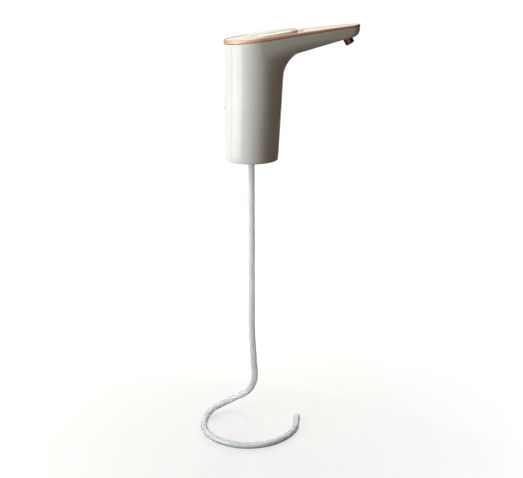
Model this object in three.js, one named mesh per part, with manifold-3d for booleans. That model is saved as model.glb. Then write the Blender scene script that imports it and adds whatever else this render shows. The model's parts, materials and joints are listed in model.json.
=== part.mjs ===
// Electric water jug pump: a round column that sits on a jug's neck, with a pouring arm.
// Millimetres, +Z up, +X along the arm. The origin is on the neck's axis, at the base rim.
import * as THREE from 'three';
import { mergeVertices } from 'three/addons/utils/BufferGeometryUtils.js';
import Module from 'manifold-3d';

const wasm = await Module();
wasm.setup();

// Shared by every piece
const gap = 0.3;               // clearance between pieces that seat or run on each other
const weld = 0.0001;           // corners nearer than this are one corner
const overrun = 2;             // how far a cutter runs past what it cuts
const degree = Math.PI / 180;
const ringSteps = 34;          // points round the housing's outline
const largeSteps = 26;
const mediumSteps = 16;
const smallSteps = 10;
const screwSteps = 6;

// Housing: column, fillet, arm and nose
const cellMargin = 1;          // from the battery to the column's outside circle at the rim
const socketWall = 4;          // from the neck socket to the column's outside, at the rim
const headFlare = 2;           // the column grows by this up to where the arm leaves it
const headOffset = 3.4;        // the head's centre lies this far ahead of the neck's
const bendDrop = 44.3;         // from the plate down to where the fillet starts
const filletRadius = 30;       // between column and arm
const noseRadius = 9;
const noseDepth = 6.2;         // centre of the nose's curve below the plate
const reach = 126;             // from the neck's axis to the arm's tip
const tipRadius = 12;          // of the arm's end, seen from above
const wall = 2.4;
const filletSteps = 7;
const armSteps = 2;
const noseSteps = 4;
const insideShare = 0.5;       // of those steps, on surfaces that lie inside

// Top plate and its band
const plateRise = 27.3;        // top plate above the battery, at the neck's axis
const plateSlope = 6.5 * degree;
const bandHeight = 4.2;        // at the back
const bandTipHeight = 3.1;     // at the tip
const bandBulge = 0.3;         // the band stands this far proud of the housing
const bandEdge = 0.9;          // rounding of the band's top edge
const bandEdgeDrop = 0.3;      // first step of that rounding
const seamGap = 0.15;          // open line between housing and band
const rimWidth = 2;            // top face of the band, beside the panel
const tongueThickness = 1.2;   // locating tongue inside the housing's wall
const tongueDepth = 3;
const panelThickness = 2.2;
const panelEdge = 0.4;

// Press pad in the panel
const padBackX = 14;           // centre of the pad's back curve, along the plate
const padBackRadius = 21;
const padFrontX = 38;
const padFrontRadius = 16.5;
const padRise = 2.2;           // back of the pad above the plate
const padWedge = 1.3;          // how much higher its front stands
const padEdge = 1.6;
const padEdgeStep = 0.5;       // first step of the pad's rounded edge
const crownInset = 10;         // where the pad's crown turns flat, from its outline
const padCrown = 0.3;
const padSkin = 1.6;
const padTravel = 0.8;
const padClearance = 0.35;     // round the pad, in the panel's opening
const flangeWidth = 1.2;
const flangeThickness = 1.2;
const stemRadius = 3;
const stemLength = 2.8;        // below the panel's underside

// Indicator light between the pad and the spout
const lensAhead = 4;           // of the pad's front
const lensRadius = 2;
const lensFlange = 0.8;
const ledSize = 2.4;
const ledHeight = 1.6;

// Control board under the pad, hung from the panel on four posts
const boardThickness = 1.6;
const boardInset = 5;          // from the housing's outline
const boardAhead = 4;          // of the light
const waistAhead = 3;          // the board narrows this far ahead of the pad's front centre
const boardNeckHalf = 6;       // half width of the board's narrow front
const switchSize = 6;
const switchHeight = 3.8;
const plungerRadius = 1.6;
const plungerShow = 0.9;       // plunger above the switch body
const plungerHidden = 2.2;
const postRadius = 2.4;
const postBackInset = 9.5;     // from the housing's outline
const postBackTurn = 142.3 * degree;
const postFrontInset = 6.75;
const postFrontReach = 23.7;   // along the outline's straight side

// Screws: one small size for boards and pump, one larger for the deck
const smallScrew = { shank: 0.9, head: 1.8, headHeight: 1.2, length: 6 };
const pumpScrew = { shank: 1.2, head: 2.3, headHeight: 1.4, length: 9 };
const deckScrew = { shank: 1.4, head: 2.6, headHeight: 1.4, length: 9.5 };

// Neck socket, its deck and its silicone grip
const socketDepth = 28;
const deckThickness = 3;
const lugCount = 3;
const lugTurn = 30 * degree;
const lugInset = 3.5;          // deck screws, from the socket's wall
const lugHalfWidth = 3.2;
const lugHeight = 9;
const gripWall = 1.3;
const gripFlange = 6.2;        // width of the flat seal at the socket's top
const gripFlangeThickness = 1.4;
const gripFoot = 2;            // skirt's lower edge above the rim
const lipCount = 3;
const lipReach = 1.2;
const lipHalfHeight = 1.2;
const lipFirst = 4;            // lowest lip above the skirt's edge
const lipPitch = 6;

// Inlet fitting through the deck, with its nut and ring seal
const intakeTubeRadius = 4;
const sleeveWall = 1.9;
const sleeveLength = 15;
const fittingFlange = 8.6;
const fittingFlangeThickness = 2;
const fittingStem = 4.7;
const sealRadius = 6.5;
const sealThickness = 0.6;     // half of the ring's section
const nutFlat = 7.6;           // half of the width across flats
const nutHeight = 2.6;
const passage = 1.5;           // half bore of every water passage

// Intake tube: its lying loop's depth below the rim and radius about the neck's axis
const tubeDrop = 355.5;
const loopRadius = 56;
const tubeSides = 8;
const tubeStep = 24;
// Turn in degrees, share of the loop's radius, share of the way down
const tubeShares = [
  [0, 0, 0],
  [0, 0, 0.22],
  [0, 0, 0.46],
  [0, 0, 0.66],
  [50, 0.07, 0.762],
  [72, 0.27, 0.855],
  [95, 0.56, 0.923],
  [120, 0.86, 0.967],
  [147, 1.08, 0.989],
  [176, 1.14, 1],
  [207, 1.1, 1],
  [238, 1.02, 1],
  [270, 0.97, 1],
  [302, 0.97, 1],
  [334, 1.02, 1],
  [366, 1.1, 1],
];

// Hoses and their barbs
const hoseRadius = 3.5;
const hoseBore = 2.9;
const hoseSides = 8;
const barbLength = 8;
const barbRidges = 2;
const barbRidge = 0.35;        // how far a ridge stands above the barb's root
const hoseStep = 14;
const hoseClearance = 0.8;     // round the delivery hose, under the board and over the arm's floor
const hoseLevelBack = 50;      // from the arm's tip to where the hose reaches the arm's middle
const hoseLevelShares = [0.25, 0.44, 0.63, 0.81, 1]; // places of the way from the pump to there
const hoseTurnShares = [[0.05, 0.37], [0.34, 0.76]]; // across and up, from upright to level

// Gear pump
const gearModule = 1;
const gearTeeth = 12;
const pressureAngle = 25 * degree;
const addendumShare = 0.8;     // of the module
const dedendumShare = 1.05;
const toothThinning = 0.3;     // off each tooth, at the pitch circle
const centreBacklash = 0.2;    // added to the gears' centre distance
const gearWidth = 6.4;
const flankSteps = 3;          // points on each side of a tooth
const shaftRadius = 1.5;
const pumpRadius = 15.5;
const pumpLift = 14;           // underside of the pump above the deck
const coverThickness = 3;
const pumpRoof = 4;            // wall between the gears and the motor
const pumpTurn = -40 * degree; // turns the suction port to the neck's axis
const portOffset = 6;          // suction and pressure ports from the pump's centre
const portRadius = 2.2;
const elbowAside = 3;          // outlet barb's axis outside the pump's rim
const elbowRadius = 2.6;
const shaftSealRadius = 4.4;
const shaftSealHeight = 2;
const pumpScrewInset = 2.7;    // from the pump's rim
const pumpScrewTurn = 35 * degree; // to both sides of the ports

// Motor
const motorRadius = 12.2;
const motorLength = 30.8;
const motorEdge = 1.2;
const ventHalfWidth = 3;
const ventHeight = 6;
const ventDepth = 1;
const capRadius = 11.4;
const capHeight = 3.2;
const terminalHalfWidth = 1.4;
const terminalThickness = 0.5;
const terminalHeight = 3.5;
const terminalSpan = 7;

// Battery and its cradle on the chassis
const cellRadius = 9.2;
const cellLength = 65;
const cellNub = 3;
const cellNubHeight = 0.8;
const cellLift = 3;            // battery's foot above the pump's underside
const cradleWall = 1.1;
const cradleHeight = 56;
const cradleFloor = 1.7;
const cradleLip = 4.6;         // the cradle's floor reaches this far ahead of the battery's axis
const legHalfWidth = 7;
const legThickness = 6;
const plateRadius = 20.5;      // chassis base plate
const plateThickness = 2;
const chassisHole = 9.8;
const pumpPostRadius = 2.2;
const pumpPostInset = 3;       // from the pump's rim
const pumpPostCount = 3;
const clipWall = 1.3;
const clipHeight = 10;
const clipLift = 10.4;         // clip above the motor's foot
const bridgeHalfWidth = 5;
const chassisScrewCircle = 16;

// Charging board, socket and the port's cover at the back
const portDrop = 2.4;          // socket's middle below the motor clip
const socketWidth = 9;
const socketTall = 3.2;
const socketLength = 4.2;
const socketSkin = 0.4;
const bladeHalfWidth = 2.2;    // contact blade inside the socket
const bladeHalfTall = 0.4;
const bladeLength = 3.4;
const chargeBoardHalf = 9;
const chargeBoardBelow = 7.6;  // board below the socket's middle
const chargeBoardAbove = 4;    // board above the bracket
const chargeBoardThickness = 1.2;
const motorToBoard = 2.28;
const chargeBoardDepth = 9;    // face towards the motor, from the column's back at the rim
const chargeScrewY = 6.5;
const chargeScrewRise = 7;     // above the bracket's lower edge
const bracketDepth = 3.2;
const coverWidth = 15.4;
const coverTall = 8.4;
const coverSkin = 1.1;         // flap thickness
const coverClearance = 0.35;
const nubWidth = 8.6;
const nubTall = 2.8;
const nubDepth = 0.8;
const tailWidth = 6;
const tailTall = 2.4;

// Nozzle under the arm's tip
const nozzleTilt = 30 * degree; // from straight down, outwards
const nozzleBack = 10.7;       // exit, from the arm's tip
const nozzleDrop = 15.8;       // exit, below the centre of the nose's curve
const nozzleRadius = 5.5;
const nozzleEdge = 0.5;
const nozzleMouth = 4.4;       // half bore at the exit
const nozzleMouthDepth = 4.6;
const nozzleFlange = 6.9;
const nozzleFlangeThickness = 1;
const bossTop = 10.2;          // along the nozzle's axis from its exit
const bossWall = 1.9;
const spigotRadius = 3;
const spigotLength = 3;
const elbowBody = 5;
const elbowHeight = 5.2;
const armBarbHeight = 2.9;     // of the barb's axis in the elbow
const armBarbSlope = 14 * degree;
const armBarbLength = 7.5;
const armLeadIn = 16;          // the hose runs straight onto the barb from this far
const insertThickness = 2.4;
const insertHoleRadius = 0.6;
const insertHoleCircle = 2;
const insertHoleCount = 6;
const nozzleSealThickness = 0.5;

// Worked out from the sizes above
const barbRadius = hoseBore * Math.cos(Math.PI / hoseSides) - gap;
const barbRoot = barbRadius - barbRidge;
const seatInset = wall + gap;                       // what fits inside the housing
const deckTop = socketDepth + deckThickness;
const chassisBase = deckTop + gap;
const pumpHeight = deckTop + pumpLift;
const elbowReach = pumpRadius + elbowAside;
const pumpScrewCircle = pumpRadius - pumpScrewInset;
const pumpPostCircle = pumpRadius - pumpPostInset;
const cellFloor = pumpHeight + cellLift;
const cellTop = cellFloor + cellLength;
const plateHeight = cellTop + plateRise;
const bendHeight = plateHeight - bendDrop;
const lensX = padFrontX + padFrontRadius + lensAhead;
const boardFrontX = lensX + boardAhead;
const boardWaistX = padFrontX + waistAhead;
const hoseLevelX = reach - hoseLevelBack;
const tongueInset = seatInset + tongueThickness;
const gearDistance = gearModule * gearTeeth + centreBacklash;
const gearTip = gearModule * (gearTeeth / 2 + addendumShare);
const gearRoot = gearModule * (gearTeeth / 2 - dedendumShare);
const gearBase = pumpHeight + coverThickness + 2 * gap;
const cavityRoof = gearBase + gearWidth + gap;
const pumpTop = cavityRoof + pumpRoof;
const motorBase = pumpTop + gap;
const motorTop = motorBase + motorLength;
const clipBase = motorBase + clipLift;
const clipTop = clipBase + clipHeight;
const portHeight = clipBase - portDrop;
const chargeScrewHeight = clipBase + chargeScrewRise;
const pumpCentre = new THREE.Vector2(-portOffset, 0).rotateAround(new THREE.Vector2(), pumpTurn);
const motorCentre = new THREE.Vector2(0, -gearDistance / 2)
  .rotateAround(new THREE.Vector2(), pumpTurn).add(pumpCentre);
const hoseCentre = new THREE.Vector2(-elbowReach, 0)
  .rotateAround(new THREE.Vector2(), pumpTurn).add(pumpCentre);
const cradleOuter = cellRadius + gap + cradleWall;
const cellX = pumpCentre.x + pumpRadius + gap + cradleOuter; // the battery stands beside the pump
const chargeBoardX = motorCentre.x - motorRadius - motorToBoard;

// The column is as wide as its fuller side needs: the battery in front, the charging board behind
const baseRadius = Math.max(cellX + cellRadius + cellMargin, chargeBoardDepth - chargeBoardX);
const headRadius = baseRadius + headFlare;
const socketRadius = baseRadius - socketWall;
const lugScrewRadius = socketRadius - lugInset;
const headLean = (headRadius - tipRadius) / (reach - tipRadius - headOffset);

const backX = (height) => {
  const share = Math.min(height / bendHeight, 1);
  return share * (headOffset - headRadius) - (1 - share) * baseRadius;
};
const plate = (x) => plateHeight + x * Math.tan(plateSlope);
const seam = (x) => {
  const share = (x - backX(bendHeight)) / (reach - backX(bendHeight));
  return plate(x) - bandHeight * (1 - share) - bandTipHeight * share;
};

// Arc places: a step of length r square to a line that climbs at `angle`
const turn = (r, angle) => new THREE.Vector2(r * Math.sin(angle), -r * Math.cos(angle));

// The arm's underside touches the fillet's circle and the nose's circle
const columnLean = Math.atan2(bendHeight, headOffset + headRadius - baseRadius);
const filletStart = new THREE.Vector2(headOffset + headRadius, bendHeight);
const filletCentre = filletStart.clone().add(turn(filletRadius, columnLean));
const noseCentre = new THREE.Vector2(reach - noseRadius, plate(reach - noseRadius) - noseDepth);
const armSpan = noseCentre.clone().sub(filletCentre);
const armSlope = armSpan.angle() - Math.asin((filletRadius + noseRadius) / armSpan.length());

// Geometry helpers

function signedVolume(geometry) {
  const p = geometry.attributes.position;
  const index = geometry.index;
  const [a, b, c] = [new THREE.Vector3(), new THREE.Vector3(), new THREE.Vector3()];
  let volume = 0;
  for (let i = 0; i < index.count; i += 3) {
    a.fromBufferAttribute(p, index.getX(i));
    b.fromBufferAttribute(p, index.getX(i + 1));
    c.fromBufferAttribute(p, index.getX(i + 2));
    volume += a.dot(b.cross(c)) / 6;
  }
  return volume;
}

// A closed mesh as a manifold solid, with its faces turned outwards
function solid(geometry) {
  const bare = geometry.clone();
  bare.deleteAttribute('normal');
  bare.deleteAttribute('uv');
  const merged = mergeVertices(bare, weld);
  const triVerts = Uint32Array.from(merged.index.array);
  if (signedVolume(merged) < 0) {
    for (let i = 0; i < triVerts.length; i += 3) {
      [triVerts[i + 1], triVerts[i + 2]] = [triVerts[i + 2], triVerts[i + 1]];
    }
  }
  const vertProperties = Float32Array.from(merged.attributes.position.array);
  return new wasm.Manifold(new wasm.Mesh({ numProp: 3, vertProperties, triVerts }));
}

function geometryOf(manifold) {
  const mesh = manifold.getMesh();
  const geometry = new THREE.BufferGeometry();
  geometry.setAttribute('position', new THREE.BufferAttribute(mesh.vertProperties, 3));
  geometry.setIndex(new THREE.BufferAttribute(mesh.triVerts, 1));
  return geometry;
}

// First solid, joined with the rest of `joined`, less every one of `cut`
function shaped(joined, cut = []) {
  const whole = joined.map(solid).reduce((a, b) => a.add(b));
  return geometryOf(cut.map(solid).reduce((a, b) => a.subtract(b), whole));
}

// Skin over rings of equal point counts, closed by flat ends
function loft(rings) {
  const count = rings[0].length;
  const positions = rings.flat(2);
  const index = [];
  for (let k = 0; k + 1 < rings.length; k += 1) {
    for (let i = 0; i < count; i += 1) {
      const [a, b] = [k * count + i, k * count + (i + 1) % count];
      index.push(a, b, a + count, b, b + count, a + count);
    }
  }
  const last = (rings.length - 1) * count;
  for (let i = 1; i + 1 < count; i += 1) {
    index.push(0, i + 1, i);
    index.push(last, last + i, last + i + 1);
  }
  const geometry = new THREE.BufferGeometry();
  geometry.setAttribute('position', new THREE.Float32BufferAttribute(positions, 3));
  geometry.setIndex(index);
  return geometry;
}

// Round solid about Z from [radius, height] points, turned and moved by the caller
function revolve(profile, steps) {
  const points = profile.map(([r, z]) => new THREE.Vector2(r, z));
  return new THREE.LatheGeometry(points, steps).rotateX(Math.PI / 2);
}

function rod(radius, low, high, steps, x = 0, y = 0) {
  const geometry = new THREE.CylinderGeometry(radius, radius, high - low, steps);
  return geometry.rotateX(Math.PI / 2).translate(x, y, (low + high) / 2);
}

function sleeve(outer, inner, low, high, steps, x = 0, y = 0) {
  const profile = [[inner, low], [outer, low], [outer, high], [inner, high], [inner, low]];
  return revolve(profile, steps).translate(x, y, 0);
}

function block([x0, x1], [y0, y1], [z0, z1]) {
  const geometry = new THREE.BoxGeometry(x1 - x0, y1 - y0, z1 - z0);
  return geometry.translate((x0 + x1) / 2, (y0 + y1) / 2, (z0 + z1) / 2);
}

function prism(shape, low, high, steps) {
  const settings = { depth: high - low, bevelEnabled: false, curveSegments: steps };
  return new THREE.ExtrudeGeometry(shape, settings).translate(0, 0, low);
}

// Outline of a head circle that narrows along two straight sides to a round front.
// `lean` is the cosine of the angle at which the sides leave the circle.
function narrowed(centre, radius, frontCentre, lean) {
  return Array.from({ length: ringSteps }, (_, i) => {
    const angle = (i + 0.5) * 2 * Math.PI / ringSteps - Math.PI;
    const atFront = Math.cos(angle) > lean;
    const from = atFront ? frontCentre : centre;
    const r = atFront ? radius - lean * (frontCentre - centre) : radius;
    return [from + r * Math.cos(angle), r * Math.sin(angle)];
  });
}

// The housing's plan at one level, from its head circle to `front`
function plan(centre, radius, front) {
  const frontCentre = (front - radius - headLean * centre) / (1 - headLean);
  return narrowed(centre, radius, Math.max(frontCentre, centre), headLean);
}

const wholePlan = (inset) => plan(headOffset, headRadius - inset, reach - inset);

// Ring of the whole plan, drawn in by `inset`, at heights given by a function of x
const ringAt = (inset, height) => wholePlan(inset).map(([x, y]) => [x, y, height(x)]);

// Front edge of the column, the arm's underside and the nose, from the fillet's start
function frontPath(inset) {
  const detail = inset ? insideShare : 1;
  const steps = [filletSteps, armSteps, noseSteps].map((count) => Math.ceil(count * detail));
  const fillet = filletRadius + inset;
  const nose = noseRadius - inset;
  const start = filletStart.clone().setX(filletStart.x - inset);
  const centre = start.clone().add(turn(fillet, columnLean));
  const points = [start];
  for (let i = 1; i <= steps[0]; i += 1) {
    const angle = columnLean + (armSlope - columnLean) * i / steps[0];
    points.push(centre.clone().sub(turn(fillet, angle)));
  }
  const armStart = points.at(-1);
  const armEndX = reach - inset - nose + turn(nose, armSlope).x;
  const armLength = armEndX - armStart.x;
  for (let i = 1; i <= steps[1]; i += 1) {
    const x = armLength * i / steps[1];
    points.push(armStart.clone().add(new THREE.Vector2(x, x * Math.tan(armSlope))));
  }
  const centreAhead = points.at(-1).clone().sub(turn(nose, armSlope));
  for (let i = 1; i <= steps[2]; i += 1) {
    const angle = armSlope + (Math.PI / 2 - armSlope) * i / steps[2];
    points.push(centreAhead.clone().add(turn(nose, angle)));
  }
  points.push(new THREE.Vector2(reach - inset, seam(reach - inset)));
  return points;
}

// The housing as a solid, drawn in by `inset`, with its open ends moved out by `extra`
function housingBody(inset, extra = 0) {
  const foot = baseRadius - inset;
  const atHeight = (z) => plan(0, foot, foot).map(([x, y]) => [x, y, z]);
  const rings = extra ? [atHeight(-extra), atHeight(0)] : [atHeight(0)];
  const path = frontPath(inset);
  const lengths = [0];
  for (let i = 1; i < path.length; i += 1) {
    lengths.push(lengths[i - 1] + path[i].distanceTo(path[i - 1]));
  }
  const radius = headRadius - inset;
  const back = headOffset - radius;
  path.forEach((front, i) => {
    const share = lengths[i] / lengths.at(-1);
    const low = bendHeight + (seam(back) - bendHeight) * share;
    const slope = (front.y - low) / (front.x - back);
    const outline = plan(headOffset, radius, front.x);
    rings.push(outline.map(([x, y]) => [x, y, low + slope * (x - back)]));
  });
  if (extra) rings.push(rings.at(-1).map(([x, y, z]) => [x, y, z + extra]));
  return loft(rings);
}

// Places along the nozzle's axis, from its exit up into the arm
const nozzleTurn = new THREE.Matrix4().makeRotationY(-nozzleTilt)
  .setPosition(reach - nozzleBack, 0, noseCentre.y - nozzleDrop);
const onNozzle = (geometry) => geometry.applyMatrix4(nozzleTurn);

// Places on the top plate: x along it, z square to it
const plateTurn = new THREE.Matrix4().makeRotationY(-plateSlope).setPosition(0, 0, plateHeight);
const onPlate = (geometry) => geometry.applyMatrix4(plateTurn);

const group = new THREE.Group();

function piece(name, geometry, [color, roughness, metalness = 0], parent = group) {
  const material = new THREE.MeshStandardMaterial({ color, roughness, metalness });
  const mesh = new THREE.Mesh(geometry, material);
  mesh.name = name;
  parent.add(mesh);
  return mesh;
}

const gloss = [0xf1f0ea, 0.22];
const roseGold = [0xc08a66, 0.3, 0.9];
const innerPlastic = [0xe4e4df, 0.5];
const silicone = [0xdfe3e2, 0.6];
const acetal = [0xefe9da, 0.45];
const steel = [0xb9bcc0, 0.3, 1];
const circuit = [0x2c6b46, 0.55];
const blackPlastic = [0x1d1d1f, 0.5];
const clearTube = [0xd9e4e6, 0.25];

// A screw with its head's underside at z = 0 and its shank up along +Z
function screw({ shank, head, headHeight, length }) {
  const socket = head / 2;
  const socketFloor = headHeight / 2;
  const profile = [
    [0, -socketFloor], [socket, -socketFloor], [socket, -headHeight], [head, -headHeight],
    [head, 0], [shank, 0], [shank, length - shank], [0, length],
  ];
  return revolve(profile, screwSteps);
}

const lugAngles = Array.from({ length: lugCount }, (_, i) => lugTurn + i * 2 * Math.PI / lugCount);
const lugPlaces = lugAngles.map((a) => [lugScrewRadius * Math.cos(a), lugScrewRadius * Math.sin(a)]);

// Housing

// Cut for the port's cover: the pocket in the wall and the way through to the socket
function portPocket() {
  const halfWidth = coverWidth / 2 + coverClearance;
  const low = portHeight - coverTall / 2 - gap - tailTall - coverClearance;
  const high = portHeight + coverTall / 2 + coverClearance;
  const slab = solid(block([-reach, 0], [-halfWidth, halfWidth], [low, high]));
  return geometryOf(slab.subtract(solid(housingBody(coverSkin + gap, overrun))));
}

function portHole() {
  const halfWidth = socketWidth / 2 + gap;
  const halfTall = socketTall / 2 + gap;
  const heights = [portHeight - halfTall, portHeight + halfTall];
  return block([-reach, chargeBoardX], [-halfWidth, halfWidth], heights);
}

function mainHousing() {
  const outer = solid(housingBody(0));
  let shell = outer.subtract(solid(housingBody(wall, overrun)));
  for (const angle of lugAngles) {
    const ends = [lugScrewRadius - lugHalfWidth, baseRadius];
    const width = [-lugHalfWidth, lugHalfWidth];
    const lug = block(ends, width, [chassisBase, chassisBase + lugHeight]).rotateZ(angle);
    shell = shell.add(solid(lug).intersect(outer));
  }
  const boss = onNozzle(rod(nozzleRadius + gap + bossWall, 0, bossTop, mediumSteps));
  shell = shell.add(solid(boss).intersect(outer));
  for (const [x, y] of lugPlaces) {
    const top = chassisBase + lugHeight + overrun;
    shell = shell.subtract(solid(rod(deckScrew.shank + gap, 0, top, screwSteps, x, y)));
  }
  const mouth = onNozzle(rod(nozzleRadius + gap, -overrun, bossTop + overrun, mediumSteps));
  const seat = onNozzle(rod(nozzleFlange + gap, bossTop, bossTop + elbowHeight, mediumSteps));
  for (const cut of [mouth, seat, portPocket(), portHole()]) shell = shell.subtract(solid(cut));
  return geometryOf(shell);
}

piece('main_housing', mainHousing(), gloss);

// Band, panel and pad on top

function trimBand() {
  const body = loft([
    ringAt(bandEdgeDrop, (x) => seam(x) + seamGap),
    ringAt(-bandBulge, (x) => seam(x) + seamGap + bandEdge),
    ringAt(-bandBulge, (x) => plate(x) - bandEdge),
    ringAt(0, (x) => plate(x) - bandEdgeDrop),
    ringAt(bandEdge, plate),
  ]);
  const tongue = loft([
    ringAt(seatInset, (x) => seam(x) - tongueDepth),
    ringAt(seatInset, (x) => seam(x) + bandHeight / 2),
  ]);
  const bore = loft([
    ringAt(tongueInset, (x) => seam(x) - tongueDepth - overrun),
    ringAt(tongueInset, (x) => plate(x) + overrun),
  ]);
  const seat = loft([
    ringAt(rimWidth, (x) => plate(x) - panelThickness - gap),
    ringAt(rimWidth, (x) => plate(x) + overrun),
  ]);
  return shaped([body, tongue], [bore, seat]);
}

piece('trim_band', trimBand(), roseGold);

const padLean = (padBackRadius - padFrontRadius) / (padFrontX - padBackX);
const padOutline = (inset) => narrowed(padBackX, padBackRadius - inset, padFrontX, padLean);
const padRing = (inset, z) => padOutline(inset).map(([x, y]) => [x, y, z]);
const padLength = padFrontX + padFrontRadius - padBackX + padBackRadius;
const padTopRing = (inset, z) => padOutline(inset).map(([x, y]) => [
  x, y, z + padWedge * (x - padBackX + padBackRadius) / padLength,
]);

const sideNormal = new THREE.Vector2(headLean, Math.sqrt(1 - headLean * headLean));
const sideAlong = new THREE.Vector2(sideNormal.y, -sideNormal.x);
const headCentre = new THREE.Vector2(headOffset, 0);
const postBack = new THREE.Vector2(Math.cos(postBackTurn), Math.sin(postBackTurn))
  .multiplyScalar(headRadius - postBackInset).add(headCentre);
const postFront = sideNormal.clone().multiplyScalar(headRadius - postFrontInset)
  .addScaledVector(sideAlong, postFrontReach).add(headCentre);
const postPlaces = [postBack, postFront].flatMap(({ x, y }) => [[x, y], [x, -y]]);
const padMiddle = (padBackX - padBackRadius + padFrontX + padFrontRadius) / 2;
const stemFoot = -panelThickness - stemLength;
const plungerTop = stemFoot - gap;
const switchTop = plungerTop - plungerShow;
const boardTop = switchTop - switchHeight - gap;

function topPanel() {
  const edge = rimWidth + gap;
  const slab = loft([
    ringAt(edge, (x) => plate(x) - panelThickness),
    ringAt(edge, (x) => plate(x) - panelEdge),
    ringAt(edge + panelEdge, plate),
  ]);
  const posts = postPlaces.map(([x, y]) => onPlate(
    rod(postRadius, boardTop + gap, -panelThickness / 2, smallSteps, x, y),
  ));
  const pilots = postPlaces.map(([x, y]) => onPlate(
    rod(smallScrew.shank + gap, boardTop - overrun, -panelThickness, screwSteps, x, y),
  ));
  const opening = onPlate(loft([
    padRing(-padClearance, -panelThickness - overrun), padRing(-padClearance, overrun),
  ]));
  const lensHole = onPlate(
    rod(lensRadius + gap, -panelThickness - overrun, overrun, smallSteps, lensX),
  );
  return shaped([slab, ...posts], [opening, lensHole, ...pilots]);
}

piece('top_panel', topPanel(), gloss);

function pressPad() {
  const flangeTop = -panelThickness - gap;
  const flangeFoot = flangeTop - flangeThickness;
  const body = loft([
    padRing(0, flangeFoot),
    padTopRing(0, padRise - padEdge),
    padTopRing(padEdgeStep, padRise - padEdgeStep),
    padTopRing(padEdge, padRise),
    padTopRing(crownInset, padRise + padCrown),
  ]);
  const flange = loft([padRing(-flangeWidth, flangeFoot), padRing(-flangeWidth, flangeTop)]);
  const hollow = loft([
    padRing(padSkin, flangeFoot - overrun), padTopRing(padSkin, padRise - padSkin - padEdge),
  ]);
  const stem = rod(stemRadius, stemFoot, padRise - padSkin, smallSteps, padMiddle);
  return geometryOf(
    solid(body).add(solid(flange)).subtract(solid(hollow)).add(solid(stem)),
  );
}

piece('press_pad', onPlate(pressPad()), gloss);

function indicatorLens() {
  const shoulder = -panelThickness - gap;
  const foot = shoulder - lensFlange;
  const edge = lensRadius + lensFlange;
  const profile = [
    [0, foot], [edge, foot], [edge, shoulder], [lensRadius, shoulder], [lensRadius, 0], [0, 0],
  ];
  return revolve(profile, smallSteps).translate(lensX, 0, 0);
}

piece('indicator_lens', onPlate(indicatorLens()), [0xe9efe9, 0.35]);

// Control board, switch and light

function controlBoard() {
  const outline = wholePlan(boardInset).map(([x, y]) => [x, y, boardTop - boardThickness]);
  const full = solid(loft([outline, outline.map(([x, y]) => [x, y, boardTop])]));
  const [low, high] = [boardTop - boardThickness - overrun, boardTop + overrun];
  const wide = solid(block([-reach, boardWaistX], [-reach, reach], [low, high]));
  const narrow = solid(block([0, boardFrontX], [-boardNeckHalf, boardNeckHalf], [low, high]));
  let board = full.intersect(wide.add(narrow));
  for (const [x, y] of postPlaces) {
    board = board.subtract(solid(rod(smallScrew.shank + gap, low, high, screwSteps, x, y)));
  }
  return geometryOf(board);
}

piece('control_board', onPlate(controlBoard()), circuit);
postPlaces.forEach(([x, y], i) => {
  const place = screw(smallScrew).translate(x, y, boardTop - boardThickness - gap);
  piece(`board_screw_${i + 1}`, onPlate(place), steel);
});

function switchBody() {
  const half = switchSize / 2;
  const body = block([padMiddle - half, padMiddle + half], [-half, half], [boardTop + gap, switchTop]);
  const wellFloor = switchTop - plungerHidden - padTravel - gap;
  const well = rod(plungerRadius + gap, wellFloor, switchTop + overrun, smallSteps, padMiddle);
  return shaped([body], [well]);
}

piece('pad_switch', onPlate(switchBody()), blackPlastic);
const plunger = rod(plungerRadius, switchTop - plungerHidden, plungerTop, smallSteps, padMiddle);
piece('switch_plunger', onPlate(plunger), [0xf0d9a0, 0.5]);

const ledHalf = ledSize / 2;
const ledFoot = boardTop + gap;
const led = block([lensX - ledHalf, lensX + ledHalf], [-ledHalf, ledHalf], [ledFoot, ledFoot + ledHeight]);
piece('indicator_led', onPlate(led), [0xf4f0d0, 0.4]);

// Neck socket with its deck

const chassisScrewPlaces = [[0, chassisScrewCircle], [0, -chassisScrewCircle]];

function neckCollar() {
  const rim = (z) => {
    const share = z / bendHeight;
    const radius = baseRadius + (headRadius - baseRadius) * share - seatInset;
    return plan(headOffset * share, radius, headOffset * share + radius).map(([x, y]) => [x, y, z]);
  };
  const body = loft([rim(0), rim(deckTop)]);
  const cuts = [
    rod(socketRadius, -overrun, socketDepth, largeSteps),
    rod(fittingStem + gap, 0, deckTop + overrun, mediumSteps),
  ];
  const headRoom = deckScrew.head + gap;
  const sinkTop = socketDepth + deckScrew.headHeight + gap;
  for (const [x, y] of [...lugPlaces, ...chassisScrewPlaces]) {
    cuts.push(rod(deckScrew.shank + gap, 0, deckTop + overrun, screwSteps, x, y));
    cuts.push(rod(headRoom, 0, sinkTop, smallSteps, x, y));
  }
  return shaped([body], cuts);
}

piece('neck_collar', neckCollar(), innerPlastic);
const deckHeadSeat = socketDepth + deckScrew.headHeight;
lugPlaces.forEach(([x, y], i) => {
  piece(`deck_screw_${i + 1}`, screw(deckScrew).translate(x, y, deckHeadSeat), steel);
});
const chassisGrip = deckThickness - deckScrew.headHeight + gap + plateThickness;
const chassisScrew = { ...deckScrew, length: chassisGrip };
chassisScrewPlaces.forEach(([x, y], i) => {
  piece(`chassis_screw_${i + 1}`, screw(chassisScrew).translate(x, y, deckHeadSeat), steel);
});

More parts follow.
